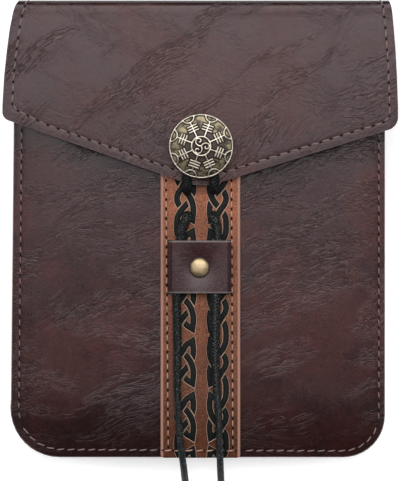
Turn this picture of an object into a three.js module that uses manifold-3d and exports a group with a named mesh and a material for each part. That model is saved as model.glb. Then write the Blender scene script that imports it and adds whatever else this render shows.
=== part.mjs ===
// A flat leather belt pouch with a pointed flap, tied shut by a cord that hooks over a cast brass button.
// It lies on its back. Millimetres: +X is the pouch's right side as it is worn facing you, +Y its top, and
// +Z comes out of its front. The origin is on the surface that it rests on, under the middle of the leather.

import * as THREE from "three";
import { mergeVertices } from "three/addons/utils/BufferGeometryUtils.js";
import Module from "manifold-3d";

const wasm = await Module();
wasm.setup();

// Driving dimensions

const GAP = 0.3; // between pieces that touch
const LEATHER = 1.8; // the back, flap, front and keeper tab
const THIN_LEATHER = 1.5; // the gusset
const STRIP_LEATHER = 1.6;
const LOOP_LEATHER = 2;
const CORD = 3.1; // diameter

// The outline of the bag, which the front, the back and the gusset's flanges share.
const BAG = {
  left: -89, // at the bottom, from where it leans in to leftTop
  leftTop: -87,
  right: 86.6,
  bottom: -106.8,
  cornerLeft: 23.4,
  cornerRight: 19.8,
  frontTop: 88,
  gussetTop: 86,
};
const TOP = 106.8; // the highest point of the fold

// The flap's side edges, from the top of the fold down to where the bottom corners begin.
const FLAP_SIDES = [
  { y: TOP, left: -84.6, right: 88 },
  { y: 105, left: -86, right: 88.9 },
  { y: 101, left: -87.2, right: 89.5 },
  { y: 93.6, left: -88.7, right: 90.2 },
  { y: 84, left: -90, right: 91 },
  { y: 71, left: -91.4, right: 91.7 },
  { y: 57, left: -92.2, right: 92.2 },
];
const FLAP = {
  cornerLeft: { y: 52.1, radius: 2.6, end: 50.8 },
  cornerRight: { y: 47.7, radius: 4.2, end: 46.4 },
  tip: [
    { x: -9.8, y: 22.7 },
    { x: -3.8, y: 20.5 },
    { x: 3.6, y: 20.5 },
    { x: 10.1, y: 22.1 },
  ],
  droop: 2, // how much lower its sides lie than its middle
};

const STRIP = { left: -18.5, right: 18.7, corner: 1.6 };
const TAB = { left: -14.9, right: 14.6, low: -29.8, high: -5.2, shoulder: 2.6, dip: 0.8 };
const RIVET = { x: -0.3, y: -17.7, radius: 4.5, dome: 1.9, shank: 1.5, tail: 3.4 };
const CONCHO = { x: 0.4, y: 38.5, radius: 15, edge: 1.4, dome: 2.1, shell: 1.3, relief: 0.5, turn: 2.4 };
const POST = { shank: 2.1, head: 4, headHeight: 1 };

const SWELL = 3; // how far the front's middle stands above its seams
const ROLL = 28; // the width of the edge over which it falls to them
const BELT_ROOM = 5.4; // between a belt loop and the back
const LOOP = { x: 46, width: 34, low: -31, high: 63, end: 12, rise: 7 };

// Heights above the surface that the pouch rests on
const BACK = LOOP_LEATHER + BELT_ROOM; // the back's outer face
const FRONT = 29.4; // the front panel's outer face, away from its seams
const STRIP_TOP = FRONT + GAP + STRIP_LEATHER;
const FLAP_REAR = STRIP_TOP + GAP + POST.headHeight + GAP;
const FLAP_TOP = FLAP_REAR + LEATHER;
const CONCHO_BASE = FLAP_TOP + GAP + CORD + GAP;
const FOLD = { backBend: 6, flapBend: 4 }; // the outer radii of its two bends
const FOLD_MIDDLE = (BACK + FLAP_TOP) / 2;

// Where the cord goes through the strip and the front: down the upper holes and up the lower ones.
const HOLE = 2.4; // radius
const CORD_HOLES = [
  { x: -6.2, y: 18.9 },
  { x: 6.5, y: 18.9 },
  { x: -6.1, y: 6.3 },
  { x: 6.4, y: 6.3 },
];

// Solids

/** The closed geometry as a manifold solid. */
function solid(geometry) {
  const bare = geometry.clone();
  bare.deleteAttribute("normal");
  bare.deleteAttribute("uv");
  const merged = mergeVertices(bare, 1e-4);
  const mesh = new wasm.Mesh({
    numProp: 3,
    vertProperties: new Float32Array(merged.attributes.position.array),
    triVerts: new Uint32Array(merged.index.array),
  });
  return new wasm.Manifold(mesh);
}

/** The manifold solid as a geometry with a normal for each face. */
function geometryOf(body) {
  const mesh = body.getMesh();
  const shared = new THREE.BufferGeometry();
  shared.setAttribute("position", new THREE.BufferAttribute(mesh.vertProperties, 3));
  shared.setIndex(new THREE.BufferAttribute(mesh.triVerts, 1));
  const flat = shared.toNonIndexed();
  flat.computeVertexNormals();
  return flat;
}

/** An upright prism between two heights. */
function prism(shape, low, high, curveSegments = 8) {
  const geometry = new THREE.ExtrudeGeometry(shape, {
    depth: high - low,
    bevelEnabled: false,
    curveSegments,
  });
  return solid(geometry.translate(0, 0, low));
}

/** An upright round peg, for holes. */
function peg({ x, y }, radius, low, high, sides = 12) {
  const geometry = new THREE.CylinderGeometry(radius, radius, high - low, sides);
  geometry.rotateX(Math.PI / 2).translate(x, y, (low + high) / 2);
  return solid(geometry);
}

/** A turned solid about an upright axis, from its profile of [radius, height] points. */
function turned(profile, { x, y }, sides) {
  const points = profile.map(([radius, height]) => new THREE.Vector2(radius, height));
  return new THREE.LatheGeometry(points, sides).rotateX(Math.PI / 2).translate(x, y, 0);
}

/** The closed sheet between two faces: point(u, v, face) places each grid point on face 0 or 1. */
function sheet(us, vs, point) {
  const positions = [];
  for (const face of [0, 1]) for (const v of vs) for (const u of us) positions.push(...point(u, v, face));
  const at = (i, j, face) => (face * vs.length + j) * us.length + i;
  const index = [];
  const quad = (a, b, c, d) => index.push(a, b, c, a, c, d);
  const [lastU, lastV] = [us.length - 1, vs.length - 1];
  for (let j = 0; j < lastV; j++) {
    for (let i = 0; i < lastU; i++) {
      quad(at(i, j, 1), at(i + 1, j, 1), at(i + 1, j + 1, 1), at(i, j + 1, 1));
      quad(at(i, j, 0), at(i, j + 1, 0), at(i + 1, j + 1, 0), at(i + 1, j, 0));
    }
    quad(at(0, j, 0), at(0, j, 1), at(0, j + 1, 1), at(0, j + 1, 0));
    quad(at(lastU, j, 0), at(lastU, j + 1, 0), at(lastU, j + 1, 1), at(lastU, j, 1));
  }
  for (let i = 0; i < lastU; i++) {
    quad(at(i, 0, 0), at(i + 1, 0, 0), at(i + 1, 0, 1), at(i, 0, 1));
    quad(at(i, lastV, 0), at(i, lastV, 1), at(i + 1, lastV, 1), at(i + 1, lastV, 0));
  }
  const geometry = new THREE.BufferGeometry();
  geometry.setAttribute("position", new THREE.Float32BufferAttribute(positions, 3));
  geometry.setIndex(index);
  return geometry;
}

/** A tube of the cord's diameter through hand-placed points. */
function tube(points, steps) {
  const section = new THREE.Shape().absarc(0, 0, CORD / 2, 0, 2 * Math.PI);
  const route = new THREE.CatmullRomCurve3(points.map((p) => new THREE.Vector3(...p)), false, "centripetal");
  return new THREE.ExtrudeGeometry(section, { extrudePath: route, steps, curveSegments: 4 });
}

// Form of the soft leather

/** 0 at an edge, rising to 1 at the inner side of the rolled edge. */
const ease = (distance) => 1 - (1 - THREE.MathUtils.clamp(distance / ROLL, 0, 1)) ** 2;

/** The bag's left edge at a height up its side. */
const leftEdge = (y) => THREE.MathUtils.mapLinear(y, BAG.bottom, BAG.frontTop, BAG.left, BAG.leftTop);

/** How far the front panel lies below its middle at a point. */
function fall(x, y) {
  return SWELL * (1 - ease(x - leftEdge(y)) * ease(BAG.right - x) * ease(y - BAG.bottom));
}

/** Positions that step finely through the rolled edges and coarsely between them. */
const rolled = (low, high) => [
  ...[0, 0.14, 0.3, 0.5, 0.72, 1].map((part) => low + part * ROLL),
  ...[1, 0.72, 0.5, 0.3, 0.14, 0].map((part) => high - part * ROLL),
];

/** The outline of the bag up to a height: straight sides, round bottom corners. */
function bagOutline(top) {
  const { left, right, bottom, cornerLeft, cornerRight } = BAG;
  const shape = new THREE.Shape();
  shape.moveTo(BAG.leftTop, top);
  shape.lineTo(left, bottom + cornerLeft);
  shape.absarc(left + cornerLeft, bottom + cornerLeft, cornerLeft, Math.PI, 1.5 * Math.PI);
  shape.absarc(right - cornerRight, bottom + cornerRight, cornerRight, 1.5 * Math.PI, 2 * Math.PI);
  shape.lineTo(right, top);
  return shape;
}

/** The outline of the flap, running past the fold so that only its sides and its lower edge are cut. */
function flapOutline() {
  const [top, bottom] = [FLAP_SIDES[0], FLAP_SIDES.at(-1)];
  const { cornerLeft, cornerRight, tip } = FLAP;
  const side = (key) => FLAP_SIDES.map((row) => new THREE.Vector2(row[key], row.y));
  const shape = new THREE.Shape();
  shape.moveTo(top.left, TOP + 4);
  shape.lineTo(top.left, top.y);
  shape.splineThru(side("left").slice(1));
  shape.lineTo(bottom.left, cornerLeft.y + cornerLeft.radius);
  shape.quadraticCurveTo(bottom.left, cornerLeft.y, bottom.left + cornerLeft.radius, cornerLeft.end);
  for (const { x, y } of tip) shape.lineTo(x, y);
  shape.lineTo(bottom.right - cornerRight.radius, cornerRight.end);
  shape.quadraticCurveTo(bottom.right, cornerRight.y, bottom.right, cornerRight.y + cornerRight.radius);
  shape.splineThru(side("right").reverse());
  shape.lineTo(top.right, TOP + 4);
  return shape;
}

/** The outline of the back: the bag's, flaring above it to meet the flap's at the fold. */
function backOutline() {
  const shape = bagOutline(BAG.frontTop);
  const [top, bend] = FLAP_SIDES;
  shape.lineTo(bend.right, bend.y);
  shape.lineTo(top.right, top.y);
  shape.lineTo(top.right, TOP + 4);
  shape.lineTo(top.left, TOP + 4);
  shape.lineTo(top.left, top.y);
  shape.lineTo(bend.left, bend.y);
  return shape;
}

// Pieces

/** Stations of the fold's section round a quarter bend whose centre is at a height. */
function bend(radius, z, start) {
  const steps = 5;
  return Array.from({ length: steps + 1 }, (_, step) => {
    const angle = start + (step / steps) * (Math.PI / 2);
    const outward = [Math.cos(angle), Math.sin(angle)];
    return {
      y: TOP - radius + radius * outward[0],
      z: z + radius * outward[1],
      outward,
      droop: Math.max(0, outward[1]) ** 2,
    };
  });
}

/** The back, the fold over the top and the flap, as one sheet wrapped round a section and cut to outline. */
function backAndFlap() {
  const section = [
    { y: BAG.bottom - 2, z: BACK, outward: [0, -1], droop: 0 },
    ...bend(FOLD.backBend, BACK + FOLD.backBend, -Math.PI / 2),
    ...bend(FOLD.flapBend, FLAP_TOP - FOLD.flapBend, 0),
    { y: FLAP.tip[1].y - 4, z: FLAP_TOP, outward: [0, 1], droop: 1 },
  ];
  const half = FLAP_SIDES.at(-1).right;
  const wrapped = sheet(rolled(-half - 1, half + 1), section, (x, station, face) => {
    const [y, z] = station.outward.map((part) => -face * LEATHER * part);
    const droop = FLAP.droop * station.droop * (1 - ease(half - Math.abs(x)));
    return [x, station.y + y, station.z + z - droop];
  });
  const upper = prism(flapOutline(), FOLD_MIDDLE, FLAP_TOP + 5);
  const cutter = upper.add(prism(backOutline(), BACK - 5, FOLD_MIDDLE));
  const post = peg(CONCHO, POST.shank + GAP, FLAP_REAR - 1, FLAP_TOP + 1);
  return geometryOf(solid(wrapped).intersect(cutter).subtract(post));
}

/** A sheet that follows the front's pillowed form, its outer face this far above the front panel's. */
function overFront(us, vs, height, thickness) {
  const point = (x, y, face) => [x, y, FRONT - fall(x, y) + height - (face ? 0 : thickness)];
  return solid(sheet(us, vs, point));
}

/** Pegs where the cord and the rivet pass through the front and the strip. */
function frontHoles() {
  const low = FRONT - SWELL - LEATHER - 1;
  const high = STRIP_TOP + 1;
  const holes = CORD_HOLES.map((hole) => peg(hole, HOLE, low, high));
  return holes.reduce((all, hole) => all.add(hole), peg(RIVET, RIVET.shank + GAP, low, high));
}

function frontPanel() {
  const { left, right, bottom, frontTop } = BAG;
  const rows = [...rolled(bottom, frontTop).slice(0, 6), frontTop];
  const swollen = overFront(rolled(left, right), rows, 0, LEATHER);
  const outline = prism(bagOutline(frontTop), 0, FRONT + 5);
  return geometryOf(swollen.intersect(outline).subtract(frontHoles()));
}

function frontStrip() {
  const { left, right, corner } = STRIP;
  const rows = [...rolled(BAG.bottom, BAG.frontTop).slice(0, 6), BAG.frontTop];
  const laid = overFront([left, right], rows, GAP + STRIP_LEATHER, STRIP_LEATHER);
  const shape = new THREE.Shape();
  shape.moveTo(left, BAG.frontTop);
  shape.lineTo(left, BAG.bottom + corner);
  shape.quadraticCurveTo(left, BAG.bottom, left + corner, BAG.bottom);
  shape.lineTo(right - corner, BAG.bottom);
  shape.quadraticCurveTo(right, BAG.bottom, right, BAG.bottom + corner);
  shape.lineTo(right, BAG.frontTop);
  const outline = prism(shape, 0, STRIP_TOP + 5, 4);
  return geometryOf(laid.intersect(outline).subtract(frontHoles()).subtract(tabSlits()));
}

/** The two slits in the strip that the keeper tab's ends go down into. */
function tabSlits() {
  const length = TAB.high - TAB.low + 2 * GAP;
  const width = LEATHER + 2 * GAP;
  const slit = (x) => {
    const box = new THREE.BoxGeometry(width, length, 4 * STRIP_LEATHER);
    return solid(box.translate(x, (TAB.low + TAB.high) / 2, STRIP_TOP));
  };
  return slit(TAB.left + LEATHER / 2).add(slit(TAB.right - LEATHER / 2));
}

/** The keeper tab: a low bridge over both cord legs, dipping slightly at its rivet. */
function keeperTab() {
  const foot = FRONT + GAP;
  const rear = STRIP_TOP + GAP + CORD + GAP;
  const { left, right, shoulder, dip } = TAB;
  const face = (inset) => {
    const reach = shoulder - inset;
    const crown = rear + LEATHER - inset;
    const shape = new THREE.Path();
    shape.moveTo(left + inset, foot);
    shape.lineTo(left + inset, crown - reach);
    shape.quadraticCurveTo(left + inset, crown, left + shoulder, crown);
    shape.splineThru([
      new THREE.Vector2(RIVET.x - 5.5, crown - dip / 2),
      new THREE.Vector2(RIVET.x - 2, crown - dip),
      new THREE.Vector2(RIVET.x + 2, crown - dip),
      new THREE.Vector2(RIVET.x + 5.5, crown - dip / 2),
      new THREE.Vector2(right - shoulder, crown),
    ]);
    shape.quadraticCurveTo(right - inset, crown, right - inset, crown - reach);
    shape.lineTo(right - inset, foot);
    return shape.getPoints(5);
  };
  const section = new THREE.Shape([...face(0), ...face(LEATHER).reverse()]);
  const bridge = new THREE.ExtrudeGeometry(section, { depth: TAB.high - TAB.low, bevelEnabled: false });
  bridge.rotateX(Math.PI / 2).translate(0, TAB.high, 0);
  return geometryOf(solid(bridge).subtract(peg(RIVET, RIVET.shank + GAP, foot, rear + 2 * LEATHER)));
}

/** The height of the keeper tab's outer face at its rivet. */
const TAB_TOP = STRIP_TOP + GAP + CORD + GAP + LEATHER - TAB.dip;

/** The domed rivet: its cap on the tab, its shank down through the strip and front, its tail inside. */
function keeperRivet() {
  const cap = TAB_TOP + GAP;
  const tail = FRONT - LEATHER - GAP;
  const { radius, dome, shank } = RIVET;
  const domeSteps = 5;
  const profile = [[0, tail - 1], [RIVET.tail, tail - 1], [RIVET.tail, tail], [shank, tail]];
  profile.push([shank, cap], [radius, cap], [radius, cap + 0.4]);
  for (let step = 1; step <= domeSteps; step++) {
    const angle = (step / domeSteps) * (Math.PI / 2);
    profile.push([radius * Math.cos(angle), cap + 0.4 + (dome - 0.4) * Math.sin(angle)]);
  }
  profile[profile.length - 1][0] = 0;
  return turned(profile, RIVET, 24);
}

/** The gusset: its section is a wall with flanges turned outward, swept round the bag's sides and bottom. */
function gusset() {
  const flange = 7;
  const [low, high] = [BACK + LEATHER + GAP, FRONT - SWELL - LEATHER - GAP];
  const middle = (low + high) / 2;
  const section = [
    [0, low],
    [-flange - 0.7, low],
    [-flange - THIN_LEATHER, low + 1],
    [-flange - 2.4, middle],
    [-flange - THIN_LEATHER, high - 1],
    [-flange - 0.7, high],
    [0, high],
    [0, high - THIN_LEATHER],
    [-flange + 0.3, high - THIN_LEATHER],
    [-flange - 2.4 + THIN_LEATHER, middle],
    [-flange + 0.3, low + THIN_LEATHER],
    [0, low + THIN_LEATHER],
  ];
  const { left, right, bottom, cornerLeft, cornerRight, gussetTop } = BAG;
  const stations = [{ x: BAG.leftTop, y: gussetTop, angle: Math.PI }];
  const corner = (x, y, radius, start, steps) => {
    for (let step = 0; step <= steps; step++) {
      const angle = start + ((step / steps) * Math.PI) / 2;
      stations.push({ x: x + radius * Math.cos(angle), y: y + radius * Math.sin(angle), angle });
    }
  };
  corner(left + cornerLeft, bottom + cornerLeft, cornerLeft, Math.PI, 8);
  corner(right - cornerRight, bottom + cornerRight, cornerRight, 1.5 * Math.PI, 8);
  stations.push({ x: right, y: gussetTop, angle: 2 * Math.PI });
  return sweep(section, stations);
}

/** A closed solid through copies of a section: [outward, height] points at stations round the bag. */
function sweep(section, stations) {
  const positions = [];
  for (const { x, y, angle } of stations) {
    for (const [outward, z] of section) {
      positions.push(x + outward * Math.cos(angle), y + outward * Math.sin(angle), z);
    }
  }
  const index = [];
  const count = section.length;
  for (let ring = 0; ring < stations.length - 1; ring++) {
    for (let k = 0; k < count; k++) {
      const [a, b] = [ring * count + k, ring * count + ((k + 1) % count)];
      index.push(a, b, b + count, a, b + count, a + count);
    }
  }
  const caps = THREE.ShapeUtils.triangulateShape(section.map((p) => new THREE.Vector2(...p)), []);
  const last = (stations.length - 1) * count;
  for (const [a, b, c] of caps) {
    index.push(a, b, c);
    index.push(last + a, last + c, last + b);
  }
  const geometry = new THREE.BufferGeometry();
  geometry.setAttribute("position", new THREE.Float32BufferAttribute(positions, 3));
  geometry.setIndex(index);
  return geometry;
}

/** A plain belt loop: a flat strap whose two ends rise to lie against the back. */
function beltLoop(x) {
  const { width, low, high, end, rise } = LOOP;
  const seat = BACK - GAP;
  const raised = seat - LOOP_LEATHER;
  const section = new THREE.Shape([
    new THREE.Vector2(low, raised),
    new THREE.Vector2(low + end, raised),
    new THREE.Vector2(low + end + rise, 0),
    new THREE.Vector2(high - end - rise, 0),
    new THREE.Vector2(high - end, raised),
    new THREE.Vector2(high, raised),
    new THREE.Vector2(high, seat),
    new THREE.Vector2(high - end - 0.6, seat),
    new THREE.Vector2(high - end - rise - 0.6, LOOP_LEATHER),
    new THREE.Vector2(low + end + rise + 0.6, LOOP_LEATHER),
    new THREE.Vector2(low + end + 0.6, seat),
    new THREE.Vector2(low, seat),
  ]);
  const strap = new THREE.ExtrudeGeometry(section, { depth: width, bevelEnabled: false });
  return strap.rotateX(Math.PI / 2).rotateZ(Math.PI / 2).translate(x - width / 2, 0, 0);
}

// The concho

/** The profile of the concho's domed face, raised by a height, as [radius, height] points. */
function conchoFace(raise) {
  const { radius, edge, dome } = CONCHO;
  const curve = (r) => CONCHO_BASE + edge + raise + dome * (1 - (r / radius) ** 2);
  return [radius, 0.82 * radius, 0.6 * radius, 0.36 * radius, 0].map((r) => [r, curve(r)]);
}

/** A raised line of even width along a run of points, tall enough to be cut to the face. */
function ridge(points, width) {
  const count = points.length;
  const offset = (side) =>
    points.map((point, n) => {
      const along = new THREE.Vector2().subVectors(points[Math.min(n + 1, count - 1)], points[Math.max(n - 1, 0)]);
      along.normalize().multiplyScalar((side * width) / 2);
      return new THREE.Vector2(point.x - along.y, point.y + along.x);
    });
  const outline = new THREE.Shape([...offset(-1), ...offset(1).reverse()]);
  return prism(outline, CONCHO_BASE, CONCHO_BASE + 10);
}

/** Points on an arc about a centre. */
function arc(centre, radius, from, to, steps) {
  const points = [];
  for (let step = 0; step <= steps; step++) {
    const angle = from + ((to - from) * step) / steps;
    points.push(new THREE.Vector2(centre.x + radius * Math.cos(angle), centre.y + radius * Math.sin(angle)));
  }
  return points;
}

/** A ring of even width about the middle. */
function ring(radius, width, sides) {
  const shape = new THREE.Shape(arc({ x: 0, y: 0 }, radius + width / 2, 0, 2 * Math.PI, sides).slice(1));
  shape.holes.push(new THREE.Path(arc({ x: 0, y: 0 }, radius - width / 2, 0, 2 * Math.PI, sides).slice(1)));
  return prism(shape, CONCHO_BASE, CONCHO_BASE + 10);
}

/** The raised figure: eight barred arms with crescents at the rim, and three spirals in a central ring. */
function conchoFigure() {
  const hub = 4.45;
  const crescent = { at: 14.9, radius: 2.9, width: 0.65 };
  const bars = { radii: [7.7, 8.95, 10.2], length: 4.5, width: 0.55 };
  const turn = THREE.MathUtils.degToRad(CONCHO.turn);
  const lines = [ring(hub, 0.65, 24), ring(CONCHO.radius - 0.35, 0.7, 40)];
  for (let arm = 0; arm < 8; arm++) {
    const angle = turn + (arm + 0.5) * (Math.PI / 4);
    const out = new THREE.Vector2(Math.cos(angle), Math.sin(angle));
    const across = new THREE.Vector2(-out.y, out.x);
    const at = (r, side = 0) => out.clone().multiplyScalar(r).addScaledVector(across, side);
    lines.push(ridge([at(hub), at(crescent.at - crescent.radius)], 0.6));
    for (const r of bars.radii) lines.push(ridge([at(r, -bars.length / 2), at(r, bars.length / 2)], bars.width));
    const [from, to] = [angle + 0.52 * Math.PI, angle + 1.48 * Math.PI];
    lines.push(ridge(arc(at(crescent.at), crescent.radius, from, to, 8), crescent.width));
  }
  const spiral = { at: 2.4, start: 2.4, end: 0.45, sweep: 2.15 * Math.PI, steps: 14 };
  for (let n = 0; n < 3; n++) {
    const angle = turn + THREE.MathUtils.degToRad(-12 + 120 * n);
    const points = [];
    for (let step = 0; step <= spiral.steps; step++) {
      const part = step / spiral.steps;
      const radius = THREE.MathUtils.lerp(spiral.start, spiral.end, part ** 0.75);
      const about = angle + Math.PI - part * spiral.sweep;
      points.push(
        new THREE.Vector2(
          spiral.at * Math.cos(angle) + radius * Math.cos(about),
          spiral.at * Math.sin(angle) + radius * Math.sin(about),
        ),
      );
    }
    lines.push(ridge(points, 0.5));
  }
  return lines.reduce((all, line) => all.add(line));
}

/** The cast button: a hollow-backed dome with its figure raised on the face. */
function concho() {
  const sides = 40;
  const middle = { x: 0, y: 0 };
  const { radius, shell, relief } = CONCHO;
  const hollow = conchoFace(-shell).filter(([r]) => r < radius).reverse();
  const inside = [...hollow, [radius - 1.2, CONCHO_BASE]];
  const dome = solid(turned([...inside, [radius, CONCHO_BASE], ...conchoFace(0)], middle, sides));
  const raised = solid(turned([...conchoFace(-relief).reverse(), ...conchoFace(relief)], middle, sides));
  const cast = dome.add(raised.intersect(conchoFigure()));
  return geometryOf(cast).translate(CONCHO.x, CONCHO.y, 0);
}

/** The plain screw that holds the concho: a flat head behind the flap and a shank up into the dome. */
function conchoPost() {
  const head = FLAP_REAR - GAP - POST.headHeight;
  const ceiling = conchoFace(-CONCHO.shell).at(-1)[1] - GAP;
  const profile = [
    [0, head],
    [POST.head, head],
    [POST.head, head + POST.headHeight],
    [POST.shank, head + POST.headHeight],
    [POST.shank, ceiling],
    [0, ceiling],
  ];
  return turned(profile, CONCHO, 16);
}

// The cord

const ON_FLAP = FLAP_TOP + GAP + CORD / 2; // the height of a cord that lies on the flap
const ON_STRIP = STRIP_TOP + GAP + CORD / 2; // and of one that lies on the strip
const INSIDE = FRONT - LEATHER - 3.4; // the bottom of its bend behind the front
const ON_FLOOR = CORD / 2 + 0.1;

/** The middle of the cord: up from behind the front, over the flap's tip and round the concho's post. */
const LOOP_ROUTE = [
  [-6.4, 14.5, INSIDE],
  [-6.4, 15.7, INSIDE + 0.1],
  [-6.3, 17.1, INSIDE + 0.8],
  [-6.2, 18.3, INSIDE + 2.2],
  [-6.2, 18.7, FRONT - 0.8],
  [-6.2, 18.8, STRIP_TOP + 1.6],
  [-6.2, 20.1, ON_FLAP - 0.2],
  [-6.2, 23.1, ON_FLAP + 0.1],
  [-5.6, 29.7, ON_FLAP],
  [-4.4, 35.7, ON_FLAP],
  [-3.2, 40.7, ON_FLAP],
  [0.4, 42.9, ON_FLAP],
  [4, 40.7, ON_FLAP],
  [5.2, 35.7, ON_FLAP],
  [6.2, 29.7, ON_FLAP],
  [6.6, 23.1, ON_FLAP + 0.1],
  [6.5, 20.1, ON_FLAP - 0.2],
  [6.5, 18.8, STRIP_TOP + 1.6],
  [6.5, 18.7, FRONT - 0.8],
  [6.5, 18.3, INSIDE + 2.2],
  [6.6, 17.1, INSIDE + 0.8],
  [6.7, 15.7, INSIDE + 0.1],
  [6.8, 14.5, INSIDE],
];

/** The left leg: out of the lower hole, under the tab, down the strip and over the edge to the floor. */
const LEFT_ROUTE = [
  [-6.4, 14, INSIDE],
  [-6.3, 10, INSIDE],
  [-6.1, 8, INSIDE + 0.8],
  [-6.1, 6.8, INSIDE + 2.2],
  [-6.1, 6.3, FRONT - 0.8],
  [-6.2, 6, STRIP_TOP + 0.8],
  [-6.8, 4, ON_STRIP + 0.4],
  [-7.7, 2, ON_STRIP + 0.1],
  [-8.7, -0.8, ON_STRIP],
  [-9.4, -5.3, ON_STRIP],
  [-10.4, -18.3, ON_STRIP],
  [-11, -31.3, ON_STRIP],
  [-10.6, -52.8, ON_STRIP],
  [-10.6, -76.1, ON_STRIP],
  [-10.1, -86.3, ON_STRIP - 0.2],
  [-9.4, -96.6, ON_STRIP - 1.3],
  [-8.5, -105.3, ON_STRIP - 2.7],
  [-7.8, -110.8, ON_STRIP - 5.4],
  [-7.2, -116.8, 21],
  [-6.8, -121.3, 12.5],
  [-6.5, -126.3, 4.6],
  [-6.2, -131.8, ON_FLOOR],
  [-5.8, -139.3, ON_FLOOR],
];

/** The right leg, likewise. */
const RIGHT_ROUTE = [
  [6.8, 14, INSIDE],
  [6.6, 10, INSIDE],
  [6.4, 8, INSIDE + 0.8],
  [6.4, 6.8, INSIDE + 2.2],
  [6.4, 6.3, FRONT - 0.8],
  [6.5, 6, STRIP_TOP + 0.8],
  [6.9, 4, ON_STRIP + 0.4],
  [7.4, 2, ON_STRIP + 0.1],
  [7.8, -0.8, ON_STRIP],
  [8.1, -5.3, ON_STRIP],
  [7.8, -18.3, ON_STRIP],
  [7.1, -32.3, ON_STRIP],
  [6.9, -45.3, ON_STRIP],
  [6.9, -58.5, ON_STRIP],
  [7.8, -76.1, ON_STRIP],
  [8.5, -86.3, ON_STRIP - 0.2],
  [8.9, -96.6, ON_STRIP - 1.3],
  [9.2, -105.3, ON_STRIP - 2.7],
  [9.4, -110.8, ON_STRIP - 5.4],
  [9.7, -116.8, 21],
  [10, -121.3, 12.5],
  [10.4, -126.3, 4.6],
  [10.9, -131.8, ON_FLOOR],
  [11.8, -137.3, ON_FLOOR],
];

// Materials and the assembly

const standard = (color, roughness, metalness = 0) =>
  new THREE.MeshStandardMaterial({ color, roughness, metalness });
const brownLeather = standard(0x3a2224, 0.55);
const tanLeather = standard(0x8a5236, 0.6);
const antiqueBrass = standard(0x8f7a4a, 0.4, 1);
const brass = standard(0xc9a866, 0.3, 1);
const blackCord = standard(0x121414, 0.8);

const pouch = new THREE.Group();

function piece(name, geometry, material) {
  const mesh = new THREE.Mesh(geometry, material);
  mesh.name = name;
  pouch.add(mesh);
}

piece("back_and_flap", backAndFlap(), brownLeather);
piece("front_panel", frontPanel(), brownLeather);
piece("gusset", gusset(), brownLeather);
piece("front_strip", frontStrip(), tanLeather);
piece("keeper_tab", keeperTab(), brownLeather);
piece("keeper_rivet", keeperRivet(), brass);
piece("concho", concho(), antiqueBrass);
piece("concho_post", conchoPost(), brass);
piece("cord_loop", tube(LOOP_ROUTE, 40), blackCord);
piece("cord_left", tube(LEFT_ROUTE, 40), blackCord);
piece("cord_right", tube(RIGHT_ROUTE, 40), blackCord);
piece("belt_loop_left", beltLoop(-LOOP.x), brownLeather);
piece("belt_loop_right", beltLoop(LOOP.x), brownLeather);

export default pouch;
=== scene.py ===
"""A flat leather belt pouch with a pointed flap, a cast button and a braided tie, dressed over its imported
model."""

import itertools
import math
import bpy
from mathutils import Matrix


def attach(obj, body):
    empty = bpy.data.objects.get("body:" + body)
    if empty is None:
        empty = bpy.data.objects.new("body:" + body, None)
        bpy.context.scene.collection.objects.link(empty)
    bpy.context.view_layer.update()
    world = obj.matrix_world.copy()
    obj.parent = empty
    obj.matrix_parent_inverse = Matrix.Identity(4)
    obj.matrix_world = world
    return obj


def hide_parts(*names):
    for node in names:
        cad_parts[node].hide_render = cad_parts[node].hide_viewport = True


bl_info = {
    "name": "Belt Pouch",
    "version": (1, 0, 0),
    "blender": (4, 5, 0),
    "location": "3D View > Sidebar > Pouch",
    "description": "Builds a crackled leather belt pouch with its stitching, inked strip, button and tie",
    "category": "Object",
}

import bmesh
import bpy
from bpy.props import FloatProperty, FloatVectorProperty, PointerProperty
from mathutils import Matrix, Vector, noise

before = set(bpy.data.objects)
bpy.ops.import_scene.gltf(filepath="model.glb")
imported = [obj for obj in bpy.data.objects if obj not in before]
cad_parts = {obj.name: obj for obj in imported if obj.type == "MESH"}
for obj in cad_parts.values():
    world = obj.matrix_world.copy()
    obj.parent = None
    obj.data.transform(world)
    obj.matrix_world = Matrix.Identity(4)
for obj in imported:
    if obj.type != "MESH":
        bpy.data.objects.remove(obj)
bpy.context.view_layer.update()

MM = 0.001
TURN = 2 * math.pi
# The pouch's form, in millimetres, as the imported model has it

BAG = {"left": -89.0, "left_top": -87.0, "right": 86.6, "bottom": -106.8, "front_top": 88.0}
CORNER_LEFT, CORNER_RIGHT = 23.4, 19.8  # radii of the bag's bottom corners
TOP = 106.8
FLAP_SIDES = (  # height, left edge, right edge
    (106.8, -84.6, 88.0),
    (105.0, -86.0, 88.9),
    (101.0, -87.2, 89.5),
    (93.6, -88.7, 90.2),
    (84.0, -90.0, 91.0),
    (71.0, -91.4, 91.7),
    (57.0, -92.2, 92.2),
)
FLAP_HEM = ((-92.2, 51.7), (-9.8, 22.7), (-3.8, 20.5), (3.6, 20.5), (10.1, 22.1), (92.2, 47.7))
HEM_CORNERS = ((-92.2, 51.7, 2.9), (92.2, 47.7, 4.4))  # x, y, reach of the rounding
SEAM_LEFT, SEAM_RIGHT = 4.6, 4.0  # how far the flap's seam lies in from its sides
DROOP = 2.0  # how far the flap's sides hang
SWELL = 3.0  # how far the front stands above its edges
ROLL = 28.0  # the width over which it falls to them
BACK, FRONT, STRIP_TOP, FLAP_TOP = 7.4, 29.4, 31.3, 34.7  # heights of the outer faces
LEATHER, GUSSET_LEATHER, LOOP_LEATHER, STRIP_LEATHER = 1.8, 1.5, 2.0, 1.6
BACK_BEND, FLAP_BEND = 6.0, 4.0  # radii of the fold's two bends
CLEAR = 0.3  # the room between leathers that lie on each other
STRIP = (-18.5, 18.7)
TAB = {"left": -14.9, "right": 14.6, "low": -29.8, "high": -5.2, "shoulder": 2.6}
TAB_CROWN = 36.8
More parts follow.
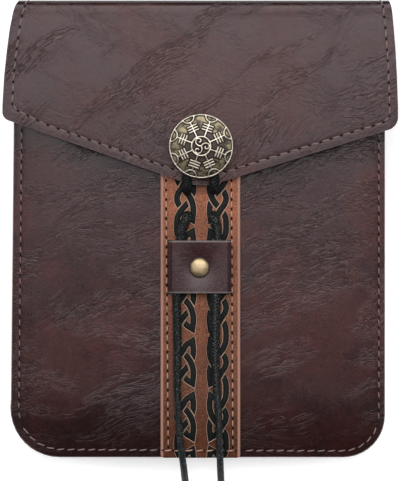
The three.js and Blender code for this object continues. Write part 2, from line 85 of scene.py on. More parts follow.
LOOP = {"low": -31.0, "high": 63.0, "end": 12.0, "rise": 7.0, "seat": BACK - CLEAR - LOOP_LEATHER}
RIVET = (-0.3, -17.7)
CONCHO = (0.4, 38.5)
CONCHO_BASE = 38.4
BORES = (  # holes for the cord and the rivet: x, y, radius
    (-6.2, 18.9, 2.4),
    (6.5, 18.9, 2.4),
    (-6.1, 6.3, 2.4),
    (6.4, 6.3, 2.4),
    (*RIVET, 1.8),
)
SCREW_BORE = (*CONCHO, 2.3)
CUT = (-3, 1)  # how far from a face its openings start and end

ARC = 10  # steps round each of the bag's corners
EDGE_ROWS = (0, 0.6, 1.2, 1.9, 2.6, 3.2, 3.8, 4.4, 5.1, 6.0, 7.4, 9.4, 11.8)  # distances in from the edge

# The cord's routes, in metres, through the middle of the cord; a leg leaves the strip at its route's point 4

LOOP_ROUTE = (
    (-0.0064, 0.0145, 0.0242), (-0.0064, 0.0157, 0.0243), (-0.0063, 0.0171, 0.025),
    (-0.0062, 0.0183, 0.0264), (-0.0062, 0.0187, 0.0286), (-0.0062, 0.0188, 0.0329),
    (-0.0062, 0.0201, 0.03635), (-0.0062, 0.0231, 0.03665), (-0.0056, 0.0297, 0.03655),
    (-0.0044, 0.0357, 0.03655), (-0.0032, 0.0407, 0.03655), (0.0004, 0.0429, 0.03655),
    (0.004, 0.0407, 0.03655), (0.0052, 0.0357, 0.03655), (0.0062, 0.0297, 0.03655),
    (0.0066, 0.0231, 0.03665), (0.0065, 0.0201, 0.03635), (0.0065, 0.0188, 0.0329),
    (0.0065, 0.0187, 0.0286), (0.0065, 0.0183, 0.0264), (0.0066, 0.0171, 0.025),
    (0.0067, 0.0157, 0.0243), (0.0068, 0.0145, 0.0242),
)
LEFT_ROUTE = (
    (-0.0064, 0.014, 0.0242), (-0.0063, 0.01, 0.0242), (-0.0061, 0.008, 0.025),
    (-0.0061, 0.0068, 0.0264), (-0.0061, 0.0063, 0.0286), (-0.0062, 0.006, 0.0321),
    (-0.0068, 0.004, 0.03355), (-0.0077, 0.002, 0.03325), (-0.0087, -0.0008, 0.03315),
    (-0.0094, -0.0053, 0.03315), (-0.0104, -0.0183, 0.03315), (-0.011, -0.0313, 0.03315),
    (-0.0106, -0.0528, 0.03315), (-0.0106, -0.0761, 0.03315), (-0.0101, -0.0863, 0.03295),
    (-0.0094, -0.0966, 0.03185), (-0.0085, -0.1053, 0.03045), (-0.0078, -0.1108, 0.02775),
    (-0.0072, -0.1168, 0.021), (-0.0068, -0.1213, 0.0125), (-0.0065, -0.1263, 0.0046),
    (-0.0062, -0.1318, 0.00165), (-0.0058, -0.1393, 0.00165),
)
RIGHT_ROUTE = (
    (0.0068, 0.014, 0.0242), (0.0066, 0.01, 0.0242), (0.0064, 0.008, 0.025),
    (0.0064, 0.0068, 0.0264), (0.0064, 0.0063, 0.0286), (0.0065, 0.006, 0.0321),
    (0.0069, 0.004, 0.03355), (0.0074, 0.002, 0.03325), (0.0078, -0.0008, 0.03315),
    (0.0081, -0.0053, 0.03315), (0.0078, -0.0183, 0.03315), (0.0071, -0.0323, 0.03315),
    (0.0069, -0.0453, 0.03315), (0.0069, -0.0585, 0.03315), (0.0078, -0.0761, 0.03315),
    (0.0085, -0.0863, 0.03295), (0.0089, -0.0966, 0.03185), (0.0092, -0.1053, 0.03045),
    (0.0094, -0.1108, 0.02775), (0.0097, -0.1168, 0.021), (0.01, -0.1213, 0.0125),
    (0.0104, -0.1263, 0.0046), (0.0109, -0.1318, 0.00165), (0.0118, -0.1373, 0.00165),
)


def size(name, description, millimetres):
    """A length property."""
    return FloatProperty(name=name, description=description, default=millimetres * MM, unit="LENGTH")


def colour(name, description, default):
    """A colour property."""
    return FloatVectorProperty(
        name=name, description=description, default=default, subtype="COLOR", size=3, min=0, max=1
    )


class PouchSizes(bpy.types.PropertyGroup):
    """Sizes of the pouch's trim."""

    edge: size("Edge rounding", "How far the cut edges of the brown leather are rounded over", 0.55)
    pitch: size("Stitch pitch", "From one stitch to the next along a seam", 4.8)
    thread: size("Thread", "Diameter of the sewing thread", 0.75)
    cord: size("Cord", "Diameter of the braided cord along its legs", 3.1)
    relief: size("Button relief", "How far the button's figure stands above its ground", 0.5)


class PouchColours(bpy.types.PropertyGroup):
    """Colours of the pouch's finishes."""

    hide: colour("Hide", "The brown leather between its creases", (0.029, 0.0112, 0.0118))
    hide_red: colour("Reddish hide", "The leather's redder patches", (0.043, 0.0118, 0.0098))
    # Painted highlight: the pale colour of the crease ridges stands in for the light that they catch.
    crease: colour("Crease ridge", "The pale ridges beside the creases", (0.092, 0.053, 0.05))
    # Painted shade: a dark line along the top of the flap's fold, where the bend turns away from the light.
    fold: colour("Fold shade", "The painted shade line along the top of the flap", (0.012, 0.009, 0.0095))
    edge_paint: colour("Edge paint", "The painted cut edges", (0.16, 0.13, 0.13))
    lining: colour("Flesh side", "The leather's inner side", (0.075, 0.043, 0.034))
    tan: colour("Tan leather", "The front strip", (0.172, 0.056, 0.0265))
    tan_edge: colour("Strip's edges", "The paler bands beside the strip's cut edges", (0.35, 0.185, 0.14))
    # Painted highlight: the ribbons' sloping sides are bare leather, coloured paler than the tan for the
    # light that their edges catch.
    scored_highlight: colour("Scored line highlight", "The bare leather along the ribbons' sloping sides", (0.56, 0.42, 0.32))
    ink: colour("Ink", "The strip's interlace", (0.0058, 0.0066, 0.0066))
    # Painted shade: the ink is made deeper black along its edges, where the recess is shaded.
    ink_edge_shade: colour("Ink's edge shade", "The deep black beside the scored lines", (0.002, 0.002, 0.002))
    brown_thread: colour("Brown thread", "The thread of the sides, back and loops", (0.19, 0.115, 0.11))
    pale_thread: colour("Pale thread", "The thread of the flap and the bottom", (0.23, 0.152, 0.148))
    tan_thread: colour("Tan thread", "The thread of the strip", (0.46, 0.27, 0.20))
    # Painted shade: the stitch holes are dark lenses laid on the leather where the holes' shade falls.
    stitch_hole_shade: colour("Stitch hole shade", "The dark holes between stitches", (0.003, 0.0015, 0.0015))
    cord: colour("Cord", "The braided tie", (0.0055, 0.006, 0.0065))
    # Painted highlights: the pale glint colours mixed into the black cord.
    cord_glint: colour("Cord's glints", "The painted glints on the legs' strands", (0.085, 0.105, 0.11))
    loop_glint: colour("Loop's glints", "The painted glints on the loop's strands", (0.035, 0.042, 0.045))
    brass: colour("Brass", "The rivet and the screw", (0.66, 0.51, 0.31))
    # Painted shade: the dark flange round the rivet's cap, where it sinks into the tab.
    shade_collar: colour("Rivet's collar", "The dark ring round the rivet", (0.012, 0.008, 0.007))
    button_lines: colour("Button's lines", "The raised lines of the button", (0.88, 0.79, 0.66))
    button_ground: colour("Button's ground", "The patina between the lines", (0.085, 0.068, 0.062))
    button_patch: colour("Button's patches", "Brighter patches of its outer cells", (0.37, 0.31, 0.2))
    # Painted shade: the dark close beside the button's raised lines.
    button_shadow: colour("Button's shadow", "The painted shade close beside the lines", (0.012, 0.010, 0.009))
    floor: colour("Floor", "The pale floor", (0.93, 0.93, 0.93))


# Small tools


def lerp(a, b, share):
    """The value this share of the way from a to b."""
    return a + (b - a) * share


def clamp(value, low=0.0, high=1.0):
    """The value, held between two others."""
    return max(low, min(high, value))


def smooth(value):
    """0 to 1, eased at both ends."""
    value = clamp(value)
    return value * value * (3 - 2 * value)


def steps(low, high, spacing):
    """Even positions from low to high, both included."""
    count = max(1, round(abs(high - low) / spacing))
    return [lerp(low, high, n / count) for n in range(count + 1)]


def along_table(rows, at, column):
    """A column of a table read between its rows, whose first column falls or rises."""
    if (rows[0][0] - at) * (rows[-1][0] - rows[0][0]) > 0:
        return rows[0][column]
    for low, high in zip(rows, rows[1:]):
        if (low[0] - at) * (high[0] - at) <= 0:
            return lerp(low[column], high[column], (at - low[0]) / (high[0] - low[0]))
    return rows[-1][column]


def circle(sides):
    """Evenly spaced angles once round, the first and last the same."""
    return [n / sides * TURN for n in range(sides + 1)]


def quarter(parts):
    """Evenly spaced angles from 0 to a right angle."""
    return [n / parts * math.pi / 2 for n in range(parts + 1)]


def lattice(bm, columns, rows, place):
    """A net of quads with its corners where place(column, row) puts them, in millimetres."""
    grid = bmesh.ops.create_grid(bm, x_segments=len(columns) - 1, y_segments=len(rows) - 1, size=1)
    for n, vert in enumerate(grid["verts"]):
        row, column = divmod(n, len(columns))
        vert.co = Vector(place(columns[column], rows[row])) * MM
    return grid["verts"]


def weld(bm, distance=0.01):
    """Merges the corners that meet and turns the faces one way."""
    bmesh.ops.remove_doubles(bm, verts=bm.verts[:], dist=distance * MM)
    bmesh.ops.recalc_face_normals(bm, faces=bm.faces[:])


def seal(bm, distance):
    """Merges the corners that meet, fills what stays open and turns the faces outwards."""
    weld(bm, distance)
    gaps = [edge for edge in bm.edges if edge.is_boundary]
    if gaps:
        bmesh.ops.holes_fill(bm, edges=gaps, sides=0)
        bmesh.ops.recalc_face_normals(bm, faces=bm.faces[:])


def face_up(bm, direction):
    """Turns an open sheet over if its largest part faces away from a direction."""
    total = sum((face.normal * face.calc_area() for face in bm.faces), Vector())
    if total.dot(Vector(direction)) < 0:
        bmesh.ops.reverse_faces(bm, faces=bm.faces[:])


def filled(make, *given):
    """A new bmesh, filled by one of the makers below."""
    bm = bmesh.new()
    make(bm, *given)
    return bm


def change(thing, **values):
    """Sets properties of a thing and returns it."""
    for key, value in values.items():
        setattr(thing, key, value)
    return thing


def node_of(tree, kind):
    """The node of a kind that a new tree comes with."""
    return next(part for part in tree.nodes if part.type == kind)


def placed(name, data):
    """A new object in the scene."""
    obj = bpy.data.objects.new(name, data)
    bpy.context.scene.collection.objects.link(obj)
    return obj


def solid(name, bm, finishes):
    """A new mesh object, which uses the bmesh up."""
    mesh = bpy.data.meshes.new(name)
    bm.to_mesh(mesh)
    bm.free()
    for finish in finishes:
        mesh.materials.append(finish)
    return placed(name, mesh)


def shade(obj, sharp=None):
    """Smooth shading, with the edges past an angle in degrees kept sharp."""
    obj.data.shade_smooth()
    if sharp is not None:
        obj.data.set_sharp_from_angle(angle=math.radians(sharp))


def piece(name, bm, finishes, slot, *nodes, sharp=None):
    """The finished mesh as an object that rides on the pouch and may stand for nodes of the model."""
    obj = solid(name, bm, finishes)
    shade(obj, sharp)
    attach(obj, "root")
    if nodes:
        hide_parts(*nodes)
    return obj


def leather_piece(name, bm, leather, node, thickness, edge):
    """A sheet of brown leather with its thickness behind the face that shows, a flesh side inside, and
    cut edges that are rounded and painted."""
    paint = plain("Edge paint", "edge_paint", 0.5)
    flesh = plain("Flesh side", "lining", 0.85, 300.0, 1400.0, 0.12)
    obj = piece(name, bm, [leather, paint, flesh], "brown_leather", node)
    change(
        obj.modifiers.new("Thickness", "SOLIDIFY"),
        thickness=thickness * MM,
        offset=-1,
        use_even_offset=True,
        material_offset=2,
        material_offset_rim=1,
    )
    change(
        obj.modifiers.new("Rounded edge", "BEVEL"),
        width=edge,
        segments=3,
        limit_method="ANGLE",
        angle_limit=math.radians(50),
        material=1,
        harden_normals=True,
    )
    return obj


# The outline of the bag


def left_edge(y):
    """The bag's left edge at a height up its side."""
    return lerp(BAG["left"], BAG["left_top"], (y - BAG["bottom"]) / (BAG["front_top"] - BAG["bottom"]))


def bag_inset(x, y):
    """How far a point lies in from the bag's sides, bottom and round corners."""
    low, right = BAG["bottom"], BAG["right"]
    for reach, along in ((CORNER_LEFT, x - left_edge(y)), (CORNER_RIGHT, right - x)):
        if along < reach and y - low < reach:
            return reach - math.hypot(reach - along, reach - (y - low))
    return min(x - left_edge(y), right - x, y - low)


def sides_at(y, rows=FLAP_SIDES):
    """The left and right edges that a table gives at a height."""
    return tuple(along_table(rows, y, side) for side in (1, 2))


def bag_sides(y):
    """The bag's left and right edges at a height; above its front they flare to meet the flap's."""
    if y <= BAG["front_top"]:
        return left_edge(y), BAG["right"]
    return sides_at(y, ((BAG["front_top"], BAG["left_top"], BAG["right"]), FLAP_SIDES[1], FLAP_SIDES[0]))


def bag_stations(top, spacing=4.0):
    """Points round the bag from its top left to its top right, with the way out from each, and the
    numbers of those that stand at the middles of the two corners."""
    low = BAG["bottom"]
    corners = (  # the middle and radius of each, and the angle at which it starts
        (BAG["left"] + CORNER_LEFT, CORNER_LEFT, math.pi),
        (BAG["right"] - CORNER_RIGHT, CORNER_RIGHT, 1.5 * math.pi),
    )
    count = round((top - low - CORNER_LEFT) / spacing)
    down = [lerp(top, low + CORNER_LEFT, n / count) for n in range(count)]
    stations = [((bag_sides(y)[0], y), (-1.0, 0.0)) for y in down]
    middles = []
    for x, reach, start in corners:
        if middles:
            bottom = steps(corners[0][0], corners[1][0], spacing)[1:-1]
            stations += [((along, low), (0.0, -1.0)) for along in bottom]
        middles.append(len(stations) + ARC // 2)
        for angle in quarter(ARC):
            out = (math.cos(start + angle), math.sin(start + angle))
            stations.append(((x + reach * out[0], low + reach + reach * out[1]), out))
    up = [lerp(low + CORNER_RIGHT, top, n / count) for n in range(1, count + 1)]
    stations += [((bag_sides(y)[1], y), (1.0, 0.0)) for y in up]
    return stations, middles


def inward(station, inset):
    """The point at a distance in from a station."""
    (x, y), out = station
    return x - out[0] * inset, y - out[1] * inset


def coons(lower, upper, left, right):
    """A point inside four runs of points that meet at their ends, found from its two shares."""

    def at(run, share):
        place = share * (len(run) - 1)
        low = min(int(place), len(run) - 2)
        return Vector(run[low]).lerp(Vector(run[low + 1]), place - low)

    def point(u, v):
        edges = at(lower, u) * (1 - v) + at(upper, u) * v + at(left, v) * (1 - u) + at(right, v) * u
        ends = (Vector(lower[0]) * (1 - u) + Vector(lower[-1]) * u) * (1 - v)
        return edges - ends - (Vector(upper[0]) * (1 - u) + Vector(upper[-1]) * u) * v

    return point


def bag_net(bm, top, lift):
    """A net over the bag's outline, its outer bands keeping to the edge; lift(x, y) gives each point.
    Returns where its columns meet the top."""
    stations, (first, second) = bag_stations(top)
    lattice(bm, stations, EDGE_ROWS, lambda station, inset: lift(*inward(station, inset)))
    inner = [inward(station, EDGE_ROWS[-1]) for station in stations]
    left, lower, right = inner[: first + 1][::-1], inner[first : second + 1], inner[second:]
    start, end = lower[0][0], lower[-1][0]
    upper = [(lerp(left[-1][0], right[-1][0], (x - start) / (end - start)), top) for x, _ in lower]
    inside = coons(lower, upper, left, right)
    us, vs = ([n / (len(run) - 1) for n in range(len(run))] for run in (lower, left))
    lattice(bm, us, vs, lambda u, v: lift(*inside(u, v)))
    return [x for x, _ in upper]


# The form of the leather


def ease(distance):
    """0 at an edge, rising to 1 at the inner side of the rolled edge."""
    return 1 - (1 - clamp(distance / ROLL)) ** 2


def fall(x, y):
    """How far the front panel lies below its middle at a point."""
    sides = ease(x - left_edge(y)) * ease(BAG["right"] - x)
    return SWELL * (1 - sides * ease(y - BAG["bottom"]))


def waver(x, y, seed):
    """Slow unevenness of the leather, from 0 to 1."""
    return 0.5 + 0.5 * noise.noise(Vector((x / 26, y / 26, seed)))


def channel(distance, depth=0.07, width=0.8):
    """The depth of the sewn channel at a distance from its seam."""
    return depth * math.exp(-((distance / width) ** 2))


def bag_seam(x):
    """How far the bag's seam lies in from its edge."""
    return lerp(4.0, 3.1, (x - BAG["left"]) / (BAG["right"] - BAG["left"]))


def front_height(x, y):
    """The height of the front panel's face."""
    seam = channel(bag_inset(x, y) - bag_seam(x)) if y < BAG["front_top"] - 2 else 0
    soft = 0.35 * waver(x, y, 3.1) * smooth((abs(x) - 22) / 12)
    return FRONT - fall(x, y) - seam - soft


# Distances over the leather of the back, fold and flap, from its bottom; S_ is where each part ends

FOLD_LENGTH = BACK_BEND * math.pi / 2
WALL = FLAP_TOP - FLAP_BEND - BACK - BACK_BEND
BEND_LENGTH = FLAP_BEND * math.pi / 2
S_BACK = TOP - BACK_BEND - BAG["bottom"]
S_WALL = S_BACK + FOLD_LENGTH
S_BEND = S_WALL + WALL
S_FLAP = S_BEND + BEND_LENGTH


def over_fold(s):
    """The section of the back, fold and flap at a distance over the leather: y, z and the way out."""
    if s <= S_BACK:
        return BAG["bottom"] + s, BACK, 0.0, -1.0
    if s <= S_WALL:
        angle = (s - S_BACK) / BACK_BEND
        out = math.sin(angle), -math.cos(angle)
        return TOP - BACK_BEND + BACK_BEND * out[0], BACK + BACK_BEND + BACK_BEND * out[1], *out
    if s <= S_BEND:
        return TOP, BACK + BACK_BEND + s - S_WALL, 1.0, 0.0
    if s <= S_FLAP:
        angle = (s - S_BEND) / FLAP_BEND
        out = math.cos(angle), math.sin(angle)
        return TOP - FLAP_BEND + FLAP_BEND * out[0], FLAP_TOP - FLAP_BEND + FLAP_BEND * out[1], *out
    return TOP - FLAP_BEND - (s - S_FLAP), FLAP_TOP, 0.0, 1.0


def hide_edges(s):
    """The left and right edges of the back, fold and flap at a distance over the leather."""
    y = over_fold(s)[0]
    return sides_at(y) if s > S_WALL else bag_sides(y)


def hem(x):
    """The height of the flap's lower edge."""
    return along_table(FLAP_HEM, x, 1)


def hem_slope(x):
    """The slope of the flap's lower edge."""
    return hem(x + 0.5) - hem(x - 0.5)


def hem_seam(x):
    """How far the flap's seam lies in from its lower edge; it draws in towards the left corner."""
    return 4.0 + 1.9 * smooth((-x - 70) / 18)


def flap_inset(x, y):
    """How far a point of the flap lies in from its left, right and lower edges."""
    left, right = sides_at(y)
    return x - left, right - x, (y - hem(x)) / math.hypot(1, hem_slope(x))


def hide_point(x, s):
    """A point on the outer face of the back, fold and flap, with the channel of its seam."""
    y, z, out_y, out_z = over_fold(s)
    left, right = hide_edges(s)
    sink = 0.0
    if s > S_BEND:
        sides = ease(FLAP_SIDES[-1][2] - abs(x))
        sink += DROOP * max(0.0, out_z) ** 2 * (1 - sides)
    if s > S_FLAP:
        to_left, to_right, to_hem = flap_inset(x, y)
        gaps = (to_left - SEAM_LEFT, to_right - SEAM_RIGHT, to_hem - hem_seam(x))
        if to_hem < hem_seam(x) + 0.9:
            gap = abs(gaps[2]) if min(gaps[:2]) > -0.5 else 3.0
        else:
            gap = min(abs(part) for part in gaps)
        sink += channel(gap)
        sink += 0.3 * waver(x, y, 7.7) * smooth((math.hypot(x, (y - 30) * 0.6) - 18) / 14)
    elif s > S_BACK:
        sink += channel(min(x - left - SEAM_LEFT, right - x - SEAM_RIGHT, key=abs))
    else:
        sink += channel(bag_inset(x, y) - bag_seam(x), 0.3)
    return x, y - out_y * sink, z - out_z * sink


def rounded(x, y):
    """A point of the flap's net, drawn in where the flap's lower corners are rounded."""
    for corner_x, corner_y, reach in HEM_CORNERS:
        side = math.copysign(1, corner_x)
        inward = Vector((-side, hem_slope(corner_x - side * 3) * -side)).normalized()
        a = (corner_x - x) * side / abs(inward.x)
        b = y - corner_y - inward.y * a
        u, v = 1 - a / reach, 1 - b / reach
        if 0 < u <= 1.001 and 0 < v <= 1.001:
            u, v = u * math.sqrt(1 - v * v / 2), v * math.sqrt(1 - u * u / 2)
            a, b = (1 - u) * reach, (1 - v) * reach
            return corner_x + inward.x * a, corner_y + inward.y * a + b
    return x, y


def make_hide(bm):
    """The back, the fold and the flap as one net."""
    inner = bag_net(bm, TOP - BACK_BEND, lambda x, y: hide_point(x, y - BAG["bottom"]))
    across = [(0.0, inset) for inset in EDGE_ROWS[:-1]]
    across += [((x - inner[0]) / (inner[-1] - inner[0]), EDGE_ROWS[-1]) for x in inner]
    across += [(1.0, inset) for inset in EDGE_ROWS[-2::-1]]

    def between(column, left, right):
        share, inset = column
        return lerp(left, right, share) + inset * (1 - 2 * share)

    bends = [S_BACK + n / 6 * FOLD_LENGTH for n in range(7)]
    bends += steps(S_WALL, S_BEND, 3.0)[1:]
    bends += [S_BEND + n / 6 * BEND_LENGTH for n in range(1, 7)]
    lattice(bm, across, bends, lambda column, s: hide_point(between(column, *hide_edges(s)), s))

    start = TOP - FLAP_BEND
    rows = [(n / 24, 12.0) for n in range(25)] + [(1.0, rise) for rise in EDGE_ROWS[-1::-1]]

    def flap_point(column, row):
        share, rise = row
        x = between(column, FLAP_HEM[0][0], FLAP_HEM[-1][0])
        for _ in range(3):
            y = lerp(start, hem(x) + rise, share)
            x = between(column, *sides_at(y))
        x, y = rounded(x, y)
        return hide_point(x, S_FLAP + start - y)

    lattice(bm, across, rows, flap_point)
    weld(bm)
    face_up(bm, (0, 1, 0))


def make_front(bm):
    """The front panel's face."""
    bag_net(bm, BAG["front_top"], lambda x, y: (x, y, front_height(x, y)))
    weld(bm)
    face_up(bm, (0, 0, 1))


def make_gusset(bm):
    """The gusset's face: a wall set in from the edge, turning out to a flange at the front and the back."""
    low = BACK + LEATHER + CLEAR + GUSSET_LEATHER
    high = FRONT - SWELL - LEATHER - CLEAR - GUSSET_LEATHER
    middle = (low + high) / 2
    profile = [(0.0, low), (2.4, low), (4.6, low), (5.8, low + 0.2), (6.6, low + 0.8), (7.1, low + 1.8)]
    profile += [(7.6, (low + middle) / 2 + 1), (7.85, middle)]
    profile += [(inset, 2 * middle - z) for inset, z in profile[-2::-1]]
    stations, _ = bag_stations(BAG["front_top"] - 2)
    lattice(bm, stations, profile, lambda station, row: (*inward(station, row[0]), row[1]))
    weld(bm)
    face_up(bm, (0, -1, 0))


def make_tab(bm):
    """The keeper tab: a low bridge, dimpled round its rivet."""
    left, right, low, high = (TAB[key] for key in ("left", "right", "low", "high"))
    reach = TAB["shoulder"]
    foot = FRONT + CLEAR
    profile = [(left, z) for z in (foot, foot + 1.5, foot + 3)]
    profile += [
        (left + reach * (1 - math.cos(angle)), TAB_CROWN - reach * (1 - math.sin(angle)))
        for angle in quarter(6)
    ]
    profile += [(x, TAB_CROWN) for x in steps(left + reach, right - reach, 0.8)[1:-1]]
    profile += [(left + right - x, z) for x, z in profile[:10][::-1]]

    def place(column, y):
        x, z = column
        if z > foot + 3.1:
            away = math.hypot(x - RIVET[0], (y - RIVET[1]) * 0.8)
            rise = clamp((z - foot - 3.1) / 2)
            z -= rise * (0.95 * math.exp(-((away / 5.2) ** 2)) + 0.35 * math.exp(-((away / 9) ** 2)))
        return x, y, z

    lattice(bm, profile, steps(low, high, 0.8), place)
    weld(bm)
    face_up(bm, (0, 0, 1))


def make_rivet(bm):
    """The rivet: a domed cap with a dark flange round its foot as painted shade, its shank and the tail
    inside.
    """
    cap, radius = 36.3, 4.4
    profile = [(0, 26.3), (3.2, 26.3), (3.4, 26.5), (3.4, 27.1), (3.2, 27.3), (1.5, 27.3), (1.5, cap - 0.2)]
    profile += [(4.95, cap - 0.2), (4.95, cap - 0.05), (4.5, cap), (4.5, cap + 0.35)]
    profile += [(radius * math.cos(angle), cap + 0.55 + 1.3 * math.sin(angle)) for angle in quarter(9)[:-1]]
    profile.append((0, cap + 1.85))
    points = [bm.verts.new(Vector((RIVET[0] + r, RIVET[1], z)) * MM) for r, z in profile]
    edges = [bm.edges.new(pair) for pair in zip(points, points[1:])]
    bmesh.ops.spin(
        bm,
        geom=points + edges,
        cent=Vector((*RIVET, 0)) * MM,
        axis=(0, 0, 1),
        angle=TURN,
        steps=48,
        use_merge=True,
    )
    weld(bm, 0.02)
    # The faces past the cap's edge, the flange, take the dark painted shade.
    for face in bm.faces:
        middle = face.calc_center_median() / MM
        if math.hypot(middle.x - RIVET[0], middle.y - RIVET[1]) > 4.5:
            face.material_index = 1


# The cord


def through(points, parts):
    """Points on the smooth curve through others, this many for each step between two of them."""
    points = [2 * points[0] - points[1], *points, 2 * points[-1] - points[-2]]
    fine = []
    for four in zip(points, points[1:], points[2:], points[3:]):
        knots = [0.0]
        for p, q in zip(four, four[1:]):
            knots.append(knots[-1] + math.sqrt((q - p).length))
        for n in range(parts):
            t = lerp(knots[1], knots[2], n / parts)
            row = [
                p.lerp(q, (t - low) / (high - low))
                for p, q, low, high in zip(four, four[1:], knots, knots[1:])
            ]
            row = [
                p.lerp(q, (t - low) / (high - low))
                for p, q, low, high in zip(row, row[1:], knots, knots[2:])
            ]
            fine.append(row[0].lerp(row[1], (t - knots[1]) / (knots[2] - knots[1])))
    return [*fine, points[-2]]


def even(fine, spacing):
    """Evenly spaced points on a run of others, about this far apart, and the run's length."""
    run = [0.0]
    for a, b in zip(fine, fine[1:]):
        run.append(run[-1] + (b - a).length)
    found, low = [], 0
    for distance in steps(0, run[-1], spacing):
        while low < len(run) - 2 and run[low + 1] < distance:
            low += 1
        found.append(fine[low].lerp(fine[low + 1], (distance - run[low]) / (run[low + 1] - run[low])))
    return found, run[-1]


def frames(points):
    """Two directions across a line at each of its points, turning no more than the line does."""
    found = []
    across = Vector((1, 0, 0))
    for n, point in enumerate(points):
        ahead = points[min(n + 1, len(points) - 1)] - points[max(n - 1, 0)]
        ahead.normalize()
        across = (across - ahead * across.dot(ahead)).normalized()
        found.append((point, across, ahead.cross(across)))
    return found


def beside_line(frame_there, radius, angle):
    """The point at a distance from a line, at an angle round it."""
    point, across, over = frame_there
    return point + across * radius * math.cos(angle) + over * radius * math.sin(angle)


def make_cord(bm, route, width, spacing=0.42):
    """A braided cord round a route: strands that pass over and under each other about a dark core.
    width(run, length) gives its diameter at a distance along it. Returns the middle line and its length."""
    points, length = even(through([Vector(point) / MM for point in route], 20), spacing)
    stations = frames(points)
    count = len(stations)
    radii = [width(n * spacing, length) / 2 for n in range(count)]
    for n in range(count):
        to_end = min(n, count - 1 - n) * spacing / 1.5
        radii[n] *= math.sqrt(clamp(1 - (1 - to_end) ** 2, 0.02)) if to_end < 1 else 1

    core, sway = 0.8, 0.1  # shares of the radius: the core's, and how far the strands move in and out
    lattice(bm, circle(10), range(count), lambda angle, n: beside_line(stations[n], radii[n] * core, angle))
    strands, lay = 6, TURN / 9.0
    half_width, half_height = 0.363 * TURN / strands, 0.15  # a strand's, as shares of the radius
    section = [(1, 0), (0.5, 0.85), (-0.5, 0.85), (-1, 0), (-0.5, -0.85), (0.5, -0.85), (1, 0)]
    for way, strand in itertools.product((1, -1), range(strands)):

        def strand_point(corner, n):
            _, across, over = stations[n]
            along = n * spacing
            angle = TURN * strand / strands + way * along * lay
            weave = core + sway * math.cos(strands * along * lay) * way
            aside = over * math.cos(angle) - across * math.sin(angle)
            point = beside_line(stations[n], radii[n] * (weave + corner[1] * half_height), angle)
            return point + aside * corner[0] * half_width * radii[n]

        lattice(bm, section, range(count), strand_point)
    seal(bm, 0.004)
    return [point * MM for point in points], length * MM


def make_belt_loop(bm, x):
    """A plain belt loop: a strap whose ends rise to lie against the back."""
    low, high, end, rise = (LOOP[key] for key in ("low", "high", "end", "rise"))
    seat = LOOP["seat"]
    bends = ((low, seat), (low + end, seat), (low + end + rise, 0.0))
    bends += ((high - end - rise, 0.0), (high - end, seat), (high, seat))

    def height(y):
        return sum(along_table(bends, y + shift, 1) for shift in (-1.6, -0.8, 0, 0.8, 1.6)) / 5

    columns = [x - 17, x - 16, x - 14.5, *steps(x - 12, x + 12, 4), x + 14.5, x + 16, x + 17]
    ys = steps(low, high, 1.6)
    lattice(bm, columns, ys, lambda across, y: (across, y, height(y)))
    weld(bm)
    face_up(bm, (0, 0, -1))


# The button

HUB, RIM = 4.42, 14.6  # radii of the rings round its middle and along its edge
ARM = 12.2  # how far out its arms reach
BARS = (7.7, 8.95, 10.2)  # how far out each arm is crossed
BAR = 2.3  # how far a bar reaches to either side
ARMS = [math.radians(22.5 + 45 * n + 2.4) for n in range(8)]
SPIRALS = [math.radians(angle) for angle in (-9, 111, 231)]


def near_segment(point, a, b):
    """The distance from a point to a straight line between two others."""
    along = b - a
    share = clamp((point - a).dot(along) / along.length_squared)
    return (point - a - along * share).length


def spiral_points():
    """The three spirals of the hub, each turning in from the middle."""
    runs = []
    for about in SPIRALS:
        centre = Vector((math.cos(about), math.sin(about))) * 2.45
        run = []
        for step in range(40):
            share = step / 39
            radius = lerp(2.3, 0.45, share**0.8) if share > 0.2 else lerp(2.45, 1.72, (share / 0.2) ** 0.7)
            angle = about + math.pi - share * TURN * 1.05
            run.append(centre + Vector((math.cos(angle), math.sin(angle))) * min(radius, 2.45))
        runs.append(run)
    return runs


SPIRAL_RUNS = spiral_points()


def figure(point):
    """How far a point of the button's face lies outside the lines of its raised figure; below 0 is on one.
    Half the width of each line is taken off the distance from its middle."""
    r = point.length
    gaps = [abs(r - RIM) - 0.33, abs(r - HUB) - 0.36]
    if r < HUB:
        for run in SPIRAL_RUNS:
            gaps += [near_segment(point, a, b) - 0.31 for a, b in zip(run, run[1:])]
        return min(gaps)
    about = math.atan2(point.y, point.x)
    arm = min(ARMS, key=lambda angle: abs(math.remainder(about - angle, TURN)))
    turned = Matrix.Rotation(-arm, 2) @ point
    if r < ARM:
        gaps.append(abs(turned.y) - 0.32)
    for bar in BARS:
        gaps.append(near_segment(turned, Vector((bar, -BAR)), Vector((bar, BAR))) - 0.34)
    gaps.append(abs((turned - Vector((14.9, 0))).length - 2.9) - 0.33)
    return min(gaps)


